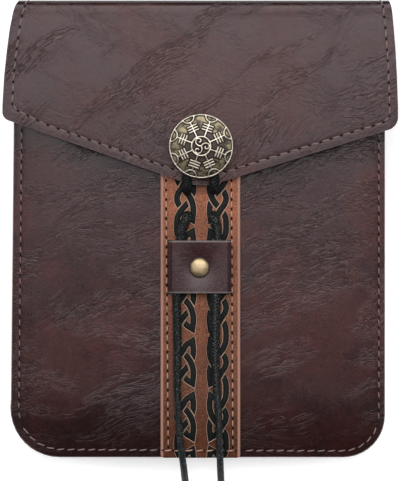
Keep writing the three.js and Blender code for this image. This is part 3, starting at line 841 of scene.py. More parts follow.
def make_button(bm, relief):
    """The cast button: a dome whose figure stands proud, with a hollow back. Its corners carry how
    polished they are, 1 on the lines, and how deep they lie in the shadow beside a line."""
    polish = bm.verts.layers.float.new("polish")
    shadow = bm.verts.layers.float.new("shadow")
    rings = [0.05, *[n * 0.172 for n in range(1, 87)], 14.9, 15.0]
    around = circle(360)

    def face(angle, r):
        point = Vector((math.cos(angle), math.sin(angle))) * r
        line = smooth(0.5 - figure(point) / 0.24)
        dome = 1.4 + 2.1 * (1 - (r / 15) ** 2)
        soft = 0.04 * noise.noise(Vector((*(point * 0.9), 1)))
        edge = 0.25 * clamp((r - 14.7) / 0.3) ** 2
        z = CONCHO_BASE + dome + relief * (line - 0.12) + soft - edge
        return CONCHO[0] + point.x, CONCHO[1] + point.y, z

    for vert in lattice(bm, around, rings, face):
        outside = figure(vert.co.xy / MM - Vector(CONCHO))
        vert[polish] = smooth(0.5 - outside / 0.3)
        vert[shadow] = 1 - smooth((outside - 0.2) / 0.5)

    def hollow(angle, row):
        r, z = row
        return CONCHO[0] + r * math.cos(angle), CONCHO[1] + r * math.sin(angle), z

    profile = [(0, 2.15), (4, 2.05), (8, 1.7), (12, 0.85), (13.6, 0.3), (13.8, 0), (14.6, 0), (15, 0.3)]
    rim = [(r, CONCHO_BASE + z) for r, z in profile]
    lattice(bm, around, [*rim, (15.0, face(0, 15.0)[2])], hollow)
    seal(bm, 0.06)


# The strip


def block(bm, low, high):
    """Adds an upright block, given by its lowest and highest corners in millimetres."""
    for vert in bmesh.ops.create_cube(bm, size=1)["verts"]:
        vert.co = Vector([lerp(a, b, part + 0.5) for a, b, part in zip(low, high, vert.co)]) * MM


def make_strip(bm):
    """The tan strip down the front, cut out flat, with its bottom corners and its upper edges rounded."""
    low, high = BAG["bottom"], BAG["front_top"]
    block(bm, (STRIP[0], low, STRIP_TOP - STRIP_LEATHER), (STRIP[1], high, STRIP_TOP))

    def at_bottom(edge):
        return edge.calc_length() < 2 * MM and edge.verts[0].co.y < 0

    def on_top(edge):
        return all(vert.co.z > (STRIP_TOP - 0.01) * MM for vert in edge.verts)

    for width, segments, chosen in ((1.6, 4, at_bottom), (0.5, 3, on_top)):
        bmesh.ops.bevel(
            bm,
            geom=[edge for edge in bm.edges if chosen(edge)],
            offset=width * MM,
            affect="EDGES",
            segments=segments,
            profile=0.5,
            material=-1,
        )


# The strip's interlace: two columns, each a strand that turns back on itself. The sizes are in a
# column's own millimetres, across from its inner edge and down from a node.

PERIOD = 25.42
RIBBON = 3.2  # with its sloping sides
SEAM_GAP = 0.16  # the tan line left beside a ribbon that passes over
SLOPE = 0.24  # the width of a ribbon's sloping sides
INK_EDGE = 0.4  # the width of the deep black along them, a painted shade
INK_DEPTH = 0.34
INK_CROWN = 0.12  # how far the ink's middle stands above its edges
DOWN_LEG = (
    ((1.3, 2.8), (0.85, 6.2), (1.0, 9.6), (2.1, 12.7), (4.0, 15.5), (6.0, 17.7), (7.3, 19.6))
    + ((8.2, 21.9), (8.45, 25.42), (8.2, 28.92), (7.3, 31.22), (6.0, 33.12), (4.0, 35.32))
    + ((2.1, 38.12), (1.0, 41.22), (0.85, 44.62), (1.3, 48.02))
)
UP_LEG = (
    ((1.3, 22.6), (4.0, 20.8), (6.0, 17.7), (7.8, 15.2), (8.45, 12.7), (7.8, 10.2), (6.0, 7.7))
    + ((4.0, 4.6), (1.3, 2.8))
)
PARTS = 6  # fine points for each step of a leg
DOWN_X3, DOWN_X2, DOWN_X1 = (n * PARTS for n in (3, 5, 11))  # where each leg is crossed
UP_X2, UP_X1 = (n * PARTS for n in (2, 6))


def crossing(a, b):
    """Where two runs of points first cross: the step of each, and the point."""
    for i in range(len(a) - 1):
        p, along = a[i], a[i + 1] - a[i]
        for j in range(len(b) - 1):
            other = b[j + 1] - b[j]
            area = along.x * other.y - along.y * other.x
            if not area:
                continue
            gap = b[j] - p
            share = (gap.x * other.y - gap.y * other.x) / area
            second = (gap.x * along.y - gap.y * along.x) / area
            if 0 <= share <= 1 and 0 <= second <= 1:
                return i, j, p + along * share
    return None


def beside(run, distance):
    """A run of points moved sideways."""
    moved = []
    for n, point in enumerate(run):
        ahead = run[min(n + 1, len(run) - 1)] - run[max(n - 1, 0)]
        moved.append(point + Vector((-ahead.y, ahead.x)).normalized() * distance)
    return moved


def ribbon(legs, over_start, over_end):
    """The outline of a ribbon along one leg, or two that meet at a point, ending beside the ribbons that
    pass over it."""
    sides = []
    for way in (1, -1):
        runs = [beside(leg, way * RIBBON / 2) for leg in legs]
        side = runs[0]
        if len(runs) == 2:
            end = side[-1] + (side[-1] - side[-2]).normalized() * 4
            start = runs[1][0] + (runs[1][0] - runs[1][1]).normalized() * 4
            first, second = [*side, end], [start, *runs[1]]
            i, j, corner = crossing(first, second)
            side = [*first[: i + 1], corner, *second[j + 1 :]]
        for over, last in ((over_start, False), (over_end, True)):
            if last:
                side = side[::-1]
            clear = RIBBON / 2 + SEAM_GAP
            cuts = [crossing(side, beside(over, edge)) for edge in (clear, -clear)]
            i, _, point = min((found for found in cuts if found), key=lambda found: found[0])
            side = [point, *side[i + 1 :]]
            if last:
                side = side[::-1]
        ends = side[0], side[-1]
        inner = [p for p in side[1:-1] if min((p - end).length for end in ends) > 1.15]
        kept = [ends[0]]
        for p in [*inner, ends[1]]:
            if (p - kept[-1]).length > 0.12:
                kept.append(p)
        sides.append(kept)
    return [*sides[0], *sides[1][::-1]]


def interlace():
    """The outlines of one period's ribbons in one column, in its own millimetres."""
    down, up = (through([Vector(point) for point in leg], PARTS) for leg in (DOWN_LEG, UP_LEG))

    def lowered(run, periods):
        return [point + Vector((0, PERIOD * periods)) for point in run]

    reach = 2 * PARTS
    before = lowered(down, -1)
    over_up = up[UP_X1 - reach : UP_X1 + reach]
    over_down = down[DOWN_X2 - reach : DOWN_X2 + reach]
    over_before = before[DOWN_X1 : DOWN_X1 + 2 * reach]
    return [
        ribbon([before[DOWN_X1:], up[: UP_X2 + 1]], over_up, over_down),
        ribbon([up[UP_X2:], down[: DOWN_X3 + 1]], over_down, over_before),
        ribbon([down[DOWN_X3 : DOWN_X1 + 1]], over_before, lowered(over_up, 1)),
    ]


def ink_strip(bm):
    """Upright blocks over every ribbon of both columns, to be sunk into the strip: a flat lid, sides that
    slope in, coloured paler as a painted highlight, and a floor that rises inside its edges, painted deep
    black as shade."""
    columns = ((-2.4, -1, 1), (3.6, 1, -1))  # inner edge, way across, way down
    for (inner, across, down), period, outline in itertools.product(columns, range(-4, 6), interlace()):
        node = 1.6 - PERIOD * period
        points = [(inner + across * p.x, node - down * p.y) for p in outline]
        if not BAG["bottom"] <= max(y for _, y in points) <= BAG["front_top"] - 3:
            continue
        face = bm.faces.new([bm.verts.new(Vector((*point, STRIP_TOP + 0.02)) * MM) for point in points])
        face.material_index = 1
        bmesh.ops.duplicate(bm, geom=[face])
        # Finish 2 colours the sloping sides as a painted highlight, finish 3 the ink's edges as painted
        # shade.
        for width, rise, finish in ((SLOPE, -INK_DEPTH, 2), (INK_EDGE, INK_CROWN, 3)):
            sides = bmesh.ops.inset_region(
                bm, faces=[face], thickness=width * MM, use_even_offset=True, use_boundary=True
            )
            for side in sides["faces"]:
                side.material_index = finish
            bmesh.ops.translate(bm, verts=face.verts[:], vec=(0, 0, rise * MM))
    bmesh.ops.remove_doubles(bm, verts=bm.verts[:], dist=1e-7)
    bmesh.ops.recalc_face_normals(bm, faces=bm.faces[:])


def bore(obj, holes, face):
    """Cuts upright round holes, each (x, y, radius), through a piece whose outer face is at a height."""
    low, high = (face + part for part in CUT)
    bm = bmesh.new()
    for x, y, radius in holes:
        bmesh.ops.create_cone(
            bm,
            cap_ends=True,
            segments=24,
            radius1=radius * MM,
            radius2=radius * MM,
            depth=(high - low) * MM,
            matrix=Matrix.Translation(Vector((x, y, (low + high) / 2)) * MM),
        )
    cut(obj, bm)


def slits(obj, ends):
    """Cuts the strip's openings for the tab's ends, each given by its left and right sides."""
    low, high = (STRIP_TOP + part for part in CUT)
    bm = bmesh.new()
    for left, right in ends:
        block(bm, (left - CLEAR, TAB["low"] - CLEAR, low), (right + CLEAR, TAB["high"] + CLEAR, high))
    cut(obj, bm)


def cut(obj, bm):
    """Takes the solids of a bmesh away from a piece, whose other modifiers are applied with it."""
    cutter = solid("Cutter", bm, obj.data.materials)
    change(
        obj.modifiers.new("Cut", "BOOLEAN"),
        operation="DIFFERENCE",
        object=cutter,
        solver="EXACT",
        material_mode="TRANSFER",
    )
    depsgraph = bpy.context.evaluated_depsgraph_get()
    result = bpy.data.meshes.new_from_object(obj.evaluated_get(depsgraph))
    obj.modifiers.clear()
    spent = obj.data, cutter.data
    obj.data = result
    result.name = spent[0].name + "_cut"
    bpy.data.objects.remove(cutter)
    for mesh in spent:
        bpy.data.meshes.remove(mesh)


def lay_strip(obj):
    """Cuts the finished flat strip across at short steps and lowers it over the front's rolled edge."""
    bm = bmesh.new()
    bm.from_mesh(obj.data)
    low, high = BAG["bottom"], BAG["front_top"]
    for y in steps(low + 1.5, low + ROLL, 1.5) + steps(low + ROLL, high, 6)[1:-1]:
        bmesh.ops.bisect_plane(
            bm,
            geom=bm.verts[:] + bm.edges[:] + bm.faces[:],
            dist=1e-7,
            plane_co=(0, y * MM, 0),
            plane_no=(0, 1, 0),
        )
    for vert in bm.verts:
        vert.co.z -= fall(0, vert.co.y / MM) * MM
    bm.to_mesh(obj.data)
    bm.free()


# Sewing


THREAD_FORM = (0.55, 0.9, 1.0, 1.0, 0.9, 0.55)  # a stitch's thickness from end to end
HOLE_FORM = ((0.0, 0.05), (0.7, 0.05), (1.0, 0.02), (1.0, -0.2), (0.0, -0.2))  # share of its size, height


def surface(place, x, y):
    """A point on a face given by place(x, y), and the way out of it, in millimetres."""
    point = Vector(place(x, y))
    across = Vector(place(x + 0.4, y)) - Vector(place(x - 0.4, y))
    up = Vector(place(x, y + 0.4)) - Vector(place(x, y - 0.4))
    return point, across.cross(up).normalized()


def sew(threads, holes, run, face, pitch, width, slant=0.12, flip=1, hole=(0.68, 0.46), turn=0.35):
    """Sews along a run of points of a face: a thread from each hole to the next, and the holes as dark
    lenses of painted shade.
    flip is -1 where the way out of the face is the other way, and turn slants the holes."""
    marks, _ = even([Vector(point) for point in run], pitch)
    for a, b in zip(marks, marks[1:]):
        along = (b - a).normalized()
        aside = Vector((-along.y, along.x)) * slant
        start, end = a + along * hole[0] - aside, b - along * hole[0] + aside
        line = []
        for step in range(6):
            point, out = surface(face, *start.lerp(end, step / 5))
            lift = width * (0.62 * math.sin(math.pi * step / 5) ** 0.5 - 0.3)
            line.append(point + out * flip * lift)
        stations = frames(line)

        def round_thread(angle, step):
            return beside_line(stations[step], width / 2 * THREAD_FORM[step], angle)

        lattice(threads, circle(6), range(6), round_thread)
    for n, mark in enumerate(marks):
        along = (marks[n + 1] - mark if n + 1 < len(marks) else mark - marks[n - 1]).normalized()
        point, out = surface(face, *mark)
        ahead = (surface(face, *(mark + along * 0.5))[0] - point).normalized()
        ahead = (ahead + out.cross(ahead) * turn).normalized()
        aside = out.cross(ahead)

        def lens(angle, row):
            share, height = row
            spot = ahead * hole[0] * math.cos(angle) + aside * hole[1] * math.sin(angle)
            return point + spot * share + out * flip * height

        lattice(holes, circle(8), HOLE_FORM, lens)


def seam(name, finish, slot, face, *rows):
    """Sews rows on a face, each a run of points and how it is sewn: a piece of threads and one of holes."""
    threads, holes = bmesh.new(), bmesh.new()
    for run, how in rows:
        sew(threads, holes, run, face, **how)
    # The holes are dark lenses of painted shade.
    dark = plain("Stitch hole shade", "stitch_hole_shade", 0.9)
    for part, bm, look in (("_thread", threads, finish), ("_holes", holes, dark)):
        seal(bm, 0.002)
        piece(name + part, bm, [look], slot)


def bag_seam_run(top):
    """The bag's seam, in from its edge, from top left to top right."""
    stations, _ = bag_stations(top, 2.0)
    return [inward(station, bag_seam(station[0][0])) for station in stations]


def flap_seam_run():
    """The flap's seam as (x, distance over the leather), from the wall round the flap and back."""
    down = [S_WALL + 2, *steps(S_BEND, S_FLAP, 2), *steps(S_FLAP + 3, S_FLAP + 44, 3)]
    left = [(hide_edges(s)[0] + SEAM_LEFT, s) for s in down]
    right = [(hide_edges(s)[1] - SEAM_RIGHT, s) for s in down]

    def hem_point(x):
        y = hem(x) + hem_seam(x) * math.hypot(1, hem_slope(x))
        return x, S_FLAP + TOP - FLAP_BEND - y

    xs = steps(FLAP_HEM[0][0] + SEAM_LEFT, FLAP_HEM[-1][0] - SEAM_RIGHT, 1.5)
    return [*left, *(hem_point(x) for x in xs), *right[::-1]]


# Finishes


class Graph:
    """A shader's node tree, whose methods add nodes to it and give back their results."""

    def __init__(self, tree):
        self.tree = tree

    def feed(self, value, socket):
        """Links a result to a socket, or sets the socket to a value."""
        if isinstance(value, bpy.types.NodeSocket):
            self.tree.links.new(value, socket)
        else:
            socket.default_value = value

    def put(self, kind, inputs=None, **settings):
        """The outputs of a new node with its inputs set or linked."""
        made = change(self.tree.nodes.new("ShaderNode" + kind), **settings)
        for key, value in (inputs or {}).items():
            self.feed(value, made.inputs[key])
        return made.outputs

    def math(self, operation, *values):
        """A Math node's result."""
        return self.put("Math", dict(enumerate(values)), operation=operation)[0]

    def times(self, a, b):
        """Two numbers multiplied."""
        return self.math("MULTIPLY", a, b)

    def plus(self, base, value, share):
        """A number with a share of another added."""
        return self.math("MULTIPLY_ADD", value, share, base)

    def vector(self, operation, a, b):
        """A Vector Math node's outputs."""
        return self.put("VectorMath", {0: a, 1: b}, operation=operation)

    def spread(self, value, low, high, start=0.0, end=1.0, kind="SMOOTHSTEP"):
        """A number mapped from one range to another, eased at both ends."""
        inputs = {0: value, 1: low, 2: high, 3: start, 4: end}
        return self.put("MapRange", inputs, interpolation_type=kind)[0]

    def straight(self, value, start, end, low=0.3, high=0.7):
        """A number, as a rule a noise's, mapped evenly on to a range."""
        return self.spread(value, low, high, start, end, "LINEAR")

    def line(self, value, middle):
        """1 where a number is at a middle, falling to 0 close beside it."""
        away = self.math("ABSOLUTE", self.math("SUBTRACT", value, middle))
        return self.spread(away, 0.0, 0.05, 1.0, 0.0)

    def cloud(self, where, scale, detail=2.0, rough=0.5):
        """A Noise texture's value."""
        inputs = {"Vector": where, "Scale": scale, "Detail": detail, "Roughness": rough}
        return self.put("TexNoise", inputs)[0]

    def mix(self, share, a, b, mode="MIX"):
        """Two colours mixed."""
        made = self.tree.nodes.new("ShaderNodeMix")
        change(made, data_type="RGBA", blend_type=mode)
        sockets = {part.identifier: part for part in made.inputs}
        for key, value in (("Factor_Float", share), ("A_Color", a), ("B_Color", b)):
            self.feed(value, sockets[key])
        return next(part for part in made.outputs if part.identifier == "Result_Color")

    def shaded(self, tint, *factors):
        """A colour made lighter or darker by factors, one after another."""
        for factor in factors:
            tint = self.mix(1.0, tint, factor, "MULTIPLY")
        return tint


class Finish(Graph):
    """The nodes of a new material, with the place in the object's coordinates."""

    def __init__(self, name):
        self.made = bpy.data.materials.new(name)
        self.made.use_nodes = True
        super().__init__(self.made.node_tree)
        self.where = self.put("TexCoord")["Object"]

    def done(self, tint, rough, height, depth, gloss=0.5, metal=0.0):
        """Feeds the shader and gives back the material; depth is the bump's distance in millimetres."""
        shader = node_of(self.tree, "BSDF_PRINCIPLED").inputs
        self.feed(tint, shader["Base Color"])
        self.feed(rough, shader["Roughness"])
        self.feed(self.put("Bump", {"Height": height, "Distance": depth * MM})[0], shader["Normal"])
        shader["Specular IOR Level"].default_value = gloss
        shader["Metallic"].default_value = metal
        return self.made


def hue(key):
    """One of the pouch's colours, for a socket."""
    return (*getattr(bpy.context.scene.pouch_colours, key), 1)


def crackled_hide():
    """The brown leather's crackle: bundles of long fine creases, each a dark groove beside a pale ridge,
    over a faint net, with redder patches. The dark of the grooves and the net is painted shade and the
    ridges' pale colour a painted highlight, beside their bump. Painted shade darkens it towards the bag's
    bottom, where it is also smoother, and a painted line of shade runs along the top of the flap's fold."""
    tree = bpy.data.node_groups.get("Crackled hide")
    if tree:
        return tree
    tree = bpy.data.node_groups.new("Crackled hide", "ShaderNodeTree")
    for way, kind, labels in (
        ("INPUT", "Vector", ("Vector",)),
        ("INPUT", "Color", ("Hide", "Reddish", "Ridge highlight", "Fold shade")),
        ("INPUT", "Float", ("Turn", "Cross turn", "Cross share", "Crease")),
        ("OUTPUT", "Color", ("Color",)),
        ("OUTPUT", "Float", ("Roughness", "Height")),
    ):
        for label in labels:
            tree.interface.new_socket(label, in_out=way, socket_type="NodeSocket" + kind)
    nodes = Graph(tree)
    given, out = tree.nodes.new("NodeGroupInput").outputs, tree.nodes.new("NodeGroupOutput").inputs
    where = given["Vector"]
    drift = nodes.put("TexNoise", {"Vector": where, "Scale": 15.0, "Detail": 1.0})[1]
    drift = nodes.vector("SUBTRACT", drift, (0.5, 0.5, 0.5))[0]
    warped = nodes.vector("ADD", where, nodes.vector("MULTIPLY", drift, (0.03, 0.03, 0.01))[0])[0]

    def bundles(turn, seed, long, narrow):
        """The grooves and the ridges of the creases that lie one way, kept to a few long bundles."""
        turned = nodes.put("VectorRotate", {"Vector": warped, "Angle": turn}, rotation_type="Z_AXIS")[0]

        def stretched(length, width, seed, *look):
            scale = (1 / length, 1 / width, 1 / width)
            moved = nodes.put("Mapping", {"Vector": turned, "Location": (seed, seed, seed), "Scale": scale})
            return nodes.cloud(moved[0], 1.0, *look)

        run = stretched(long, narrow, seed, 1.5, 0.45)
        patch = stretched(0.045, 0.013, seed + 5.0, 1.0)
        mask = nodes.times(nodes.spread(patch, 0.47, 0.62), nodes.spread(patch, 0.36, 0.5, 0.14, 1.0))
        return [nodes.times(nodes.line(run, middle), mask) for middle in (0.5, 0.572)]

    along = bundles(given["Turn"], 3.0, 0.009, 0.00125)
    across = bundles(given["Cross turn"], 9.0, 0.0075, 0.00115)
    groove, ridge = (
        nodes.times(nodes.math("MAXIMUM", a, nodes.times(b, given["Cross share"])), given["Crease"])
        for a, b in zip(along, across)
    )
    net_mask = nodes.spread(nodes.cloud(where, 60.0), 0.4, 0.62, 0.2, 1.0)
    net = nodes.times(nodes.line(nodes.cloud(warped, 330.0), 0.5), net_mask)
    pebble = nodes.cloud(where, 1050.0, 2.0, 0.6)
    height = nodes.plus(nodes.plus(nodes.times(ridge, 0.7), groove, -1.0), net, -0.22)
    height = nodes.plus(height, pebble, 0.45)
    blotch = nodes.spread(nodes.cloud(where, 22.0, 3.0, 0.6), 0.44, 0.6)
    tint = nodes.mix(blotch, given["Hide"], given["Reddish"])
    # Painted highlight: the ridges are made paler where they would catch the light.
    tint = nodes.mix(nodes.times(ridge, 0.55), tint, given["Ridge highlight"])
    # The first factor is painted shade in the grooves and along the net; the other two are the leather's own
    # mottle and grain.
    tint = nodes.shaded(
        tint,
        nodes.spread(nodes.math("MAXIMUM", groove, nodes.times(net, 0.3)), 0.0, 1.0, 1.0, 0.62),
        nodes.straight(nodes.cloud(where, 260.0, 4.0, 0.65), 0.75, 1.25),
        nodes.straight(pebble, 0.65, 1.45),
    )
    _, y, z = nodes.put("SeparateXYZ", {0: where})  # in metres, as every place that a finish reads
    # Painted shade: a dark line along the top of the flap's fold.
    fold = nodes.times(nodes.spread(y, 0.1043, 0.106), nodes.spread(z, 0.0302, 0.0315))
    # Painted shade: the colour darkens towards the bag's bottom.
    tint = nodes.shaded(nodes.mix(fold, tint, given["Fold shade"]), nodes.spread(y, -0.104, -0.045, 0.5, 1.0))
    nodes.feed(tint, out["Color"])
    nodes.feed(nodes.plus(nodes.plus(0.24, blotch, 0.04), groove, 0.15), out["Roughness"])
    nodes.feed(nodes.times(height, nodes.spread(y, -0.1, -0.035, 0.4, 1.0)), out["Height"])
    return tree


def brown_leather(name, turn, cross_turn, cross_share, crease=1.0, hem_shadow=False):
    """Crackled brown leather with its creases lying at an angle; it can carry a painted shadow below the
    flap's hem.
    """
    nodes = Finish("Brown leather, " + name)
    given = {"Vector": nodes.where, "Cross share": cross_share, "Crease": crease}
    given.update({"Turn": -math.radians(turn), "Cross turn": -math.radians(cross_turn)})
    for key, tint in (("Hide", "hide"), ("Reddish", "hide_red"), ("Ridge highlight", "crease"), ("Fold shade", "fold")):
        given[key] = hue(tint)
    tint, rough, height = nodes.put("Group", given, node_tree=crackled_hide())
    if hem_shadow:
        # Painted shadow: darkest just below the flap's hem, fading out over about 19 mm.
        x, y, _ = nodes.put("SeparateXYZ", {0: nodes.where})
        edge = nodes.plus(19.2 * MM, nodes.math("ABSOLUTE", x), 0.333)
        tint = nodes.shaded(tint, nodes.spread(nodes.math("SUBTRACT", edge, y), -1 * MM, 19 * MM, 0.3, 1.0))
    shader = node_of(nodes.tree, "BSDF_PRINCIPLED").inputs
    shader["Specular Tint"].default_value = (1.0, 0.88, 0.92, 1.0)
    return nodes.done(tint, rough, height, 0.062)


def plain(name, tint, rough, mottle=400.0, grain=900.0, depth=0.05, metal=0.0, gloss=0.5):
    """A finish of one of the pouch's colours, mottled and finely grained, made once."""
    if name in bpy.data.materials:
        return bpy.data.materials[name]
    nodes = Finish(name)
    tint = nodes.shaded(hue(tint), nodes.straight(nodes.cloud(nodes.where, mottle, 3.0, 0.6), 0.72, 1.25))
    worn = nodes.straight(nodes.cloud(nodes.where, mottle / 2), rough - 0.06, rough + 0.08)
    return nodes.done(tint, worn, nodes.cloud(nodes.where, grain, 4.0, 0.6), depth, gloss, metal)


def brass(name, rough):
    """Bright brass."""
    return plain(name, "brass", rough, 500.0, 900.0, 0.02, metal=1.0)


def thread(name, tint, mottle=900.0):
    """Waxed sewing thread."""
    return plain(name, tint, 0.6, mottle, 2500.0, 0.08)


def waxed_cord(name, glints, rough, gloss):
    """Black braided cord: waxed, with small pale glints along its strands, painted into its colour as
    highlights over a matching bump and lower roughness.
    """
    nodes = Finish(name)
    glint = nodes.spread(nodes.cloud(nodes.where, 1250.0, 2.0, 0.6), 0.56, 0.66)
    # Painted highlight: the glint colour is mixed in where the glint mask is high.
    tint = nodes.mix(glint, hue("cord"), hue(glints))
    return nodes.done(tint, nodes.spread(glint, 0.0, 1.0, rough, rough * 0.7), glint, 0.12, gloss)


def tan_leather():
    """The strip's tan leather: a fine speckled grain, darker towards the bottom, paler at its cut edges."""
    nodes = Finish("Tan leather")
    speckle = nodes.cloud(nodes.where, 1250.0, 3.0, 0.6)
    x, y, _ = nodes.put("SeparateXYZ", {0: nodes.where})
    tint = nodes.shaded(
        hue("tan"),
        nodes.straight(speckle, 0.45, 1.6, 0.33, 0.67),
        nodes.straight(nodes.cloud(nodes.where, 240.0, 3.0, 0.6), 0.8, 1.2),
        nodes.straight(y, 0.5, 1.55, -0.1, 0.02),
    )
    middle, half = sum(STRIP) / 2 * MM, (STRIP[1] - STRIP[0]) / 2 * MM
    out = nodes.math("ABSOLUTE", nodes.math("SUBTRACT", x, middle))
    tint = nodes.mix(nodes.spread(out, half - 1.4 * MM, half - 1.1 * MM), tint, hue("tan_edge"))
    return nodes.done(tint, nodes.straight(speckle, 0.34, 0.5), speckle, 0.2, gloss=0.3)


def button_brass():
    """Cast brass: bright on the raised lines, darkened beside them by painted shade, and patinated in the
    cells.
    """
    nodes = Finish("Antique brass")
    polish, shadow = (nodes.put("Attribute", attribute_name=name)["Fac"] for name in ("polish", "shadow"))
    flat = nodes.vector("MULTIPLY", nodes.where, (1, 1, 0))[0]
    away = nodes.vector("DISTANCE", flat, (CONCHO[0] * MM, CONCHO[1] * MM, 0.0))["Value"]
    stain = nodes.spread(nodes.cloud(nodes.where, 300.0, 4.0, 0.65), 0.4, 0.58)
    stain = nodes.times(stain, nodes.spread(away, 7.2 * MM, 9.2 * MM))
    tint = nodes.mix(stain, hue("button_ground"), hue("button_patch"))
    # Painted shade beside the raised lines, read from the shadow attribute.
    tint = nodes.mix(shadow, tint, hue("button_shadow"))
    tint = nodes.mix(polish, tint, hue("button_lines"))
    rough = nodes.spread(polish, 0.0, 1.0, 0.52, 0.38)
    return nodes.done(tint, rough, nodes.cloud(nodes.where, 1500.0, 4.0, 0.6), 0.04, metal=1.0)


# Operators


class POUCH_OT_camera(bpy.types.Operator):
    """Place the camera straight above the pouch"""

    bl_idname = "pouch.camera"
    bl_label = "Camera"

    def execute(self, context):
        lens = bpy.data.cameras.new("Camera")
        change(lens, lens=219.75, sensor_width=36, sensor_fit="AUTO", clip_start=0.01, clip_end=50)
        context.scene.camera = change(placed("Camera", lens), location=(-0.0001, -0.0052, 1.4))
        return {"FINISHED"}


class POUCH_OT_cords(bpy.types.Operator):
    """Braid the tie: the loop over the button and the two legs that hang from the strip"""

    bl_idname = "pouch.cords"
    bl_label = "Tie"

    def execute(self, context):
        sizes = context.scene.pouch_sizes
        black = waxed_cord("Black cord", "cord_glint", 0.36, 0.5)
        dull = waxed_cord("Black cord, loop", "loop_glint", 0.5, 0.25)
        thick = sizes.cord / MM * 1.06

        def leg(run, swell):
            """Fatter where it comes out of its hole and, by swell, where it leaves the tab."""
            at_hole = 0.32 * (1 - smooth((run - 19) / 10))
            below_tab = swell * smooth((run - 43) / 5) * (1 - smooth((run - 58) / 45))
            return thick * (1 + at_hole + below_tab + 0.18 * (1 - smooth((run - 60) / 70)))

        def loop(run, length):
            """Swollen where it bends over the flap's tip and down into its holes."""
            to_middle = abs(run - length / 2)
            return thick * (1 + 0.5 * smooth((to_middle - 17.5) / 5))

        for node, route, swell in (("cord_left", LEFT_ROUTE, 0.1), ("cord_right", RIGHT_ROUTE, 0.38)):
            bm = bmesh.new()
            line, length = make_cord(bm, route, lambda run, _: leg(run, swell))
            cord = piece(node + "_braid", bm, [black], "black_cord", node)
        piece("cord_loop_braid", filled(make_cord, LOOP_ROUTE, loop), [dull], "black_cord", "cord_loop")
        return {"FINISHED"}


class POUCH_OT_hide(bpy.types.Operator):
    """Cut and fold the leather of the back and flap"""

    bl_idname = "pouch.hide"
    bl_label = "Back and flap"

    def execute(self, context):
        leather = brown_leather("flap", 36, -32, 0.4)
        edge = context.scene.pouch_sizes.edge * 1.45
        obj = leather_piece("flap_leather", filled(make_hide), leather, "back_and_flap", LEATHER, edge)
        bore(obj, [SCREW_BORE], FLAP_TOP)
        return {"FINISHED"}


class POUCH_OT_front(bpy.types.Operator):
    """Cut the front panel and the gusset"""

    bl_idname = "pouch.front"
    bl_label = "Front and gusset"

    def execute(self, context):
        edge = context.scene.pouch_sizes.edge
        leather = brown_leather("front", 24, 4, 0.8, hem_shadow=True)
        obj = leather_piece("front_leather", filled(make_front), leather, "front_panel", LEATHER, edge)
        bore(obj, BORES, FRONT)
        leather_piece("gusset_leather", filled(make_gusset), leather, "gusset", GUSSET_LEATHER, edge * 0.6)
        return {"FINISHED"}


class POUCH_OT_strip(bpy.types.Operator):
    """Cut the tan strip down the front"""

    bl_idname = "pouch.strip"
    bl_label = "Strip"

    def execute(self, context):
        ink = plain("Ink", "ink", 0.5, 900.0, 1200.0, 0.2, gloss=0.2)
        # The scored sides carry a painted highlight and the ink's edges painted shade.
        scored_highlight = plain("Scored line highlight", "scored_highlight", 0.6, 900.0, 1500.0, 0.05)
        deep = plain("Ink, edge shade", "ink_edge_shade", 0.8, gloss=0.1)
        finishes = [tan_leather(), ink, scored_highlight, deep]
        obj = piece("strip_leather", filled(make_strip), finishes, "tan_leather", "front_strip")
        cut(obj, filled(ink_strip))
        bore(obj, BORES, STRIP_TOP)
        slits(obj, ((TAB["left"], TAB["left"] + LEATHER), (TAB["right"] - LEATHER, TAB["right"])))
        lay_strip(obj)
        shade(obj, sharp=40)
        return {"FINISHED"}


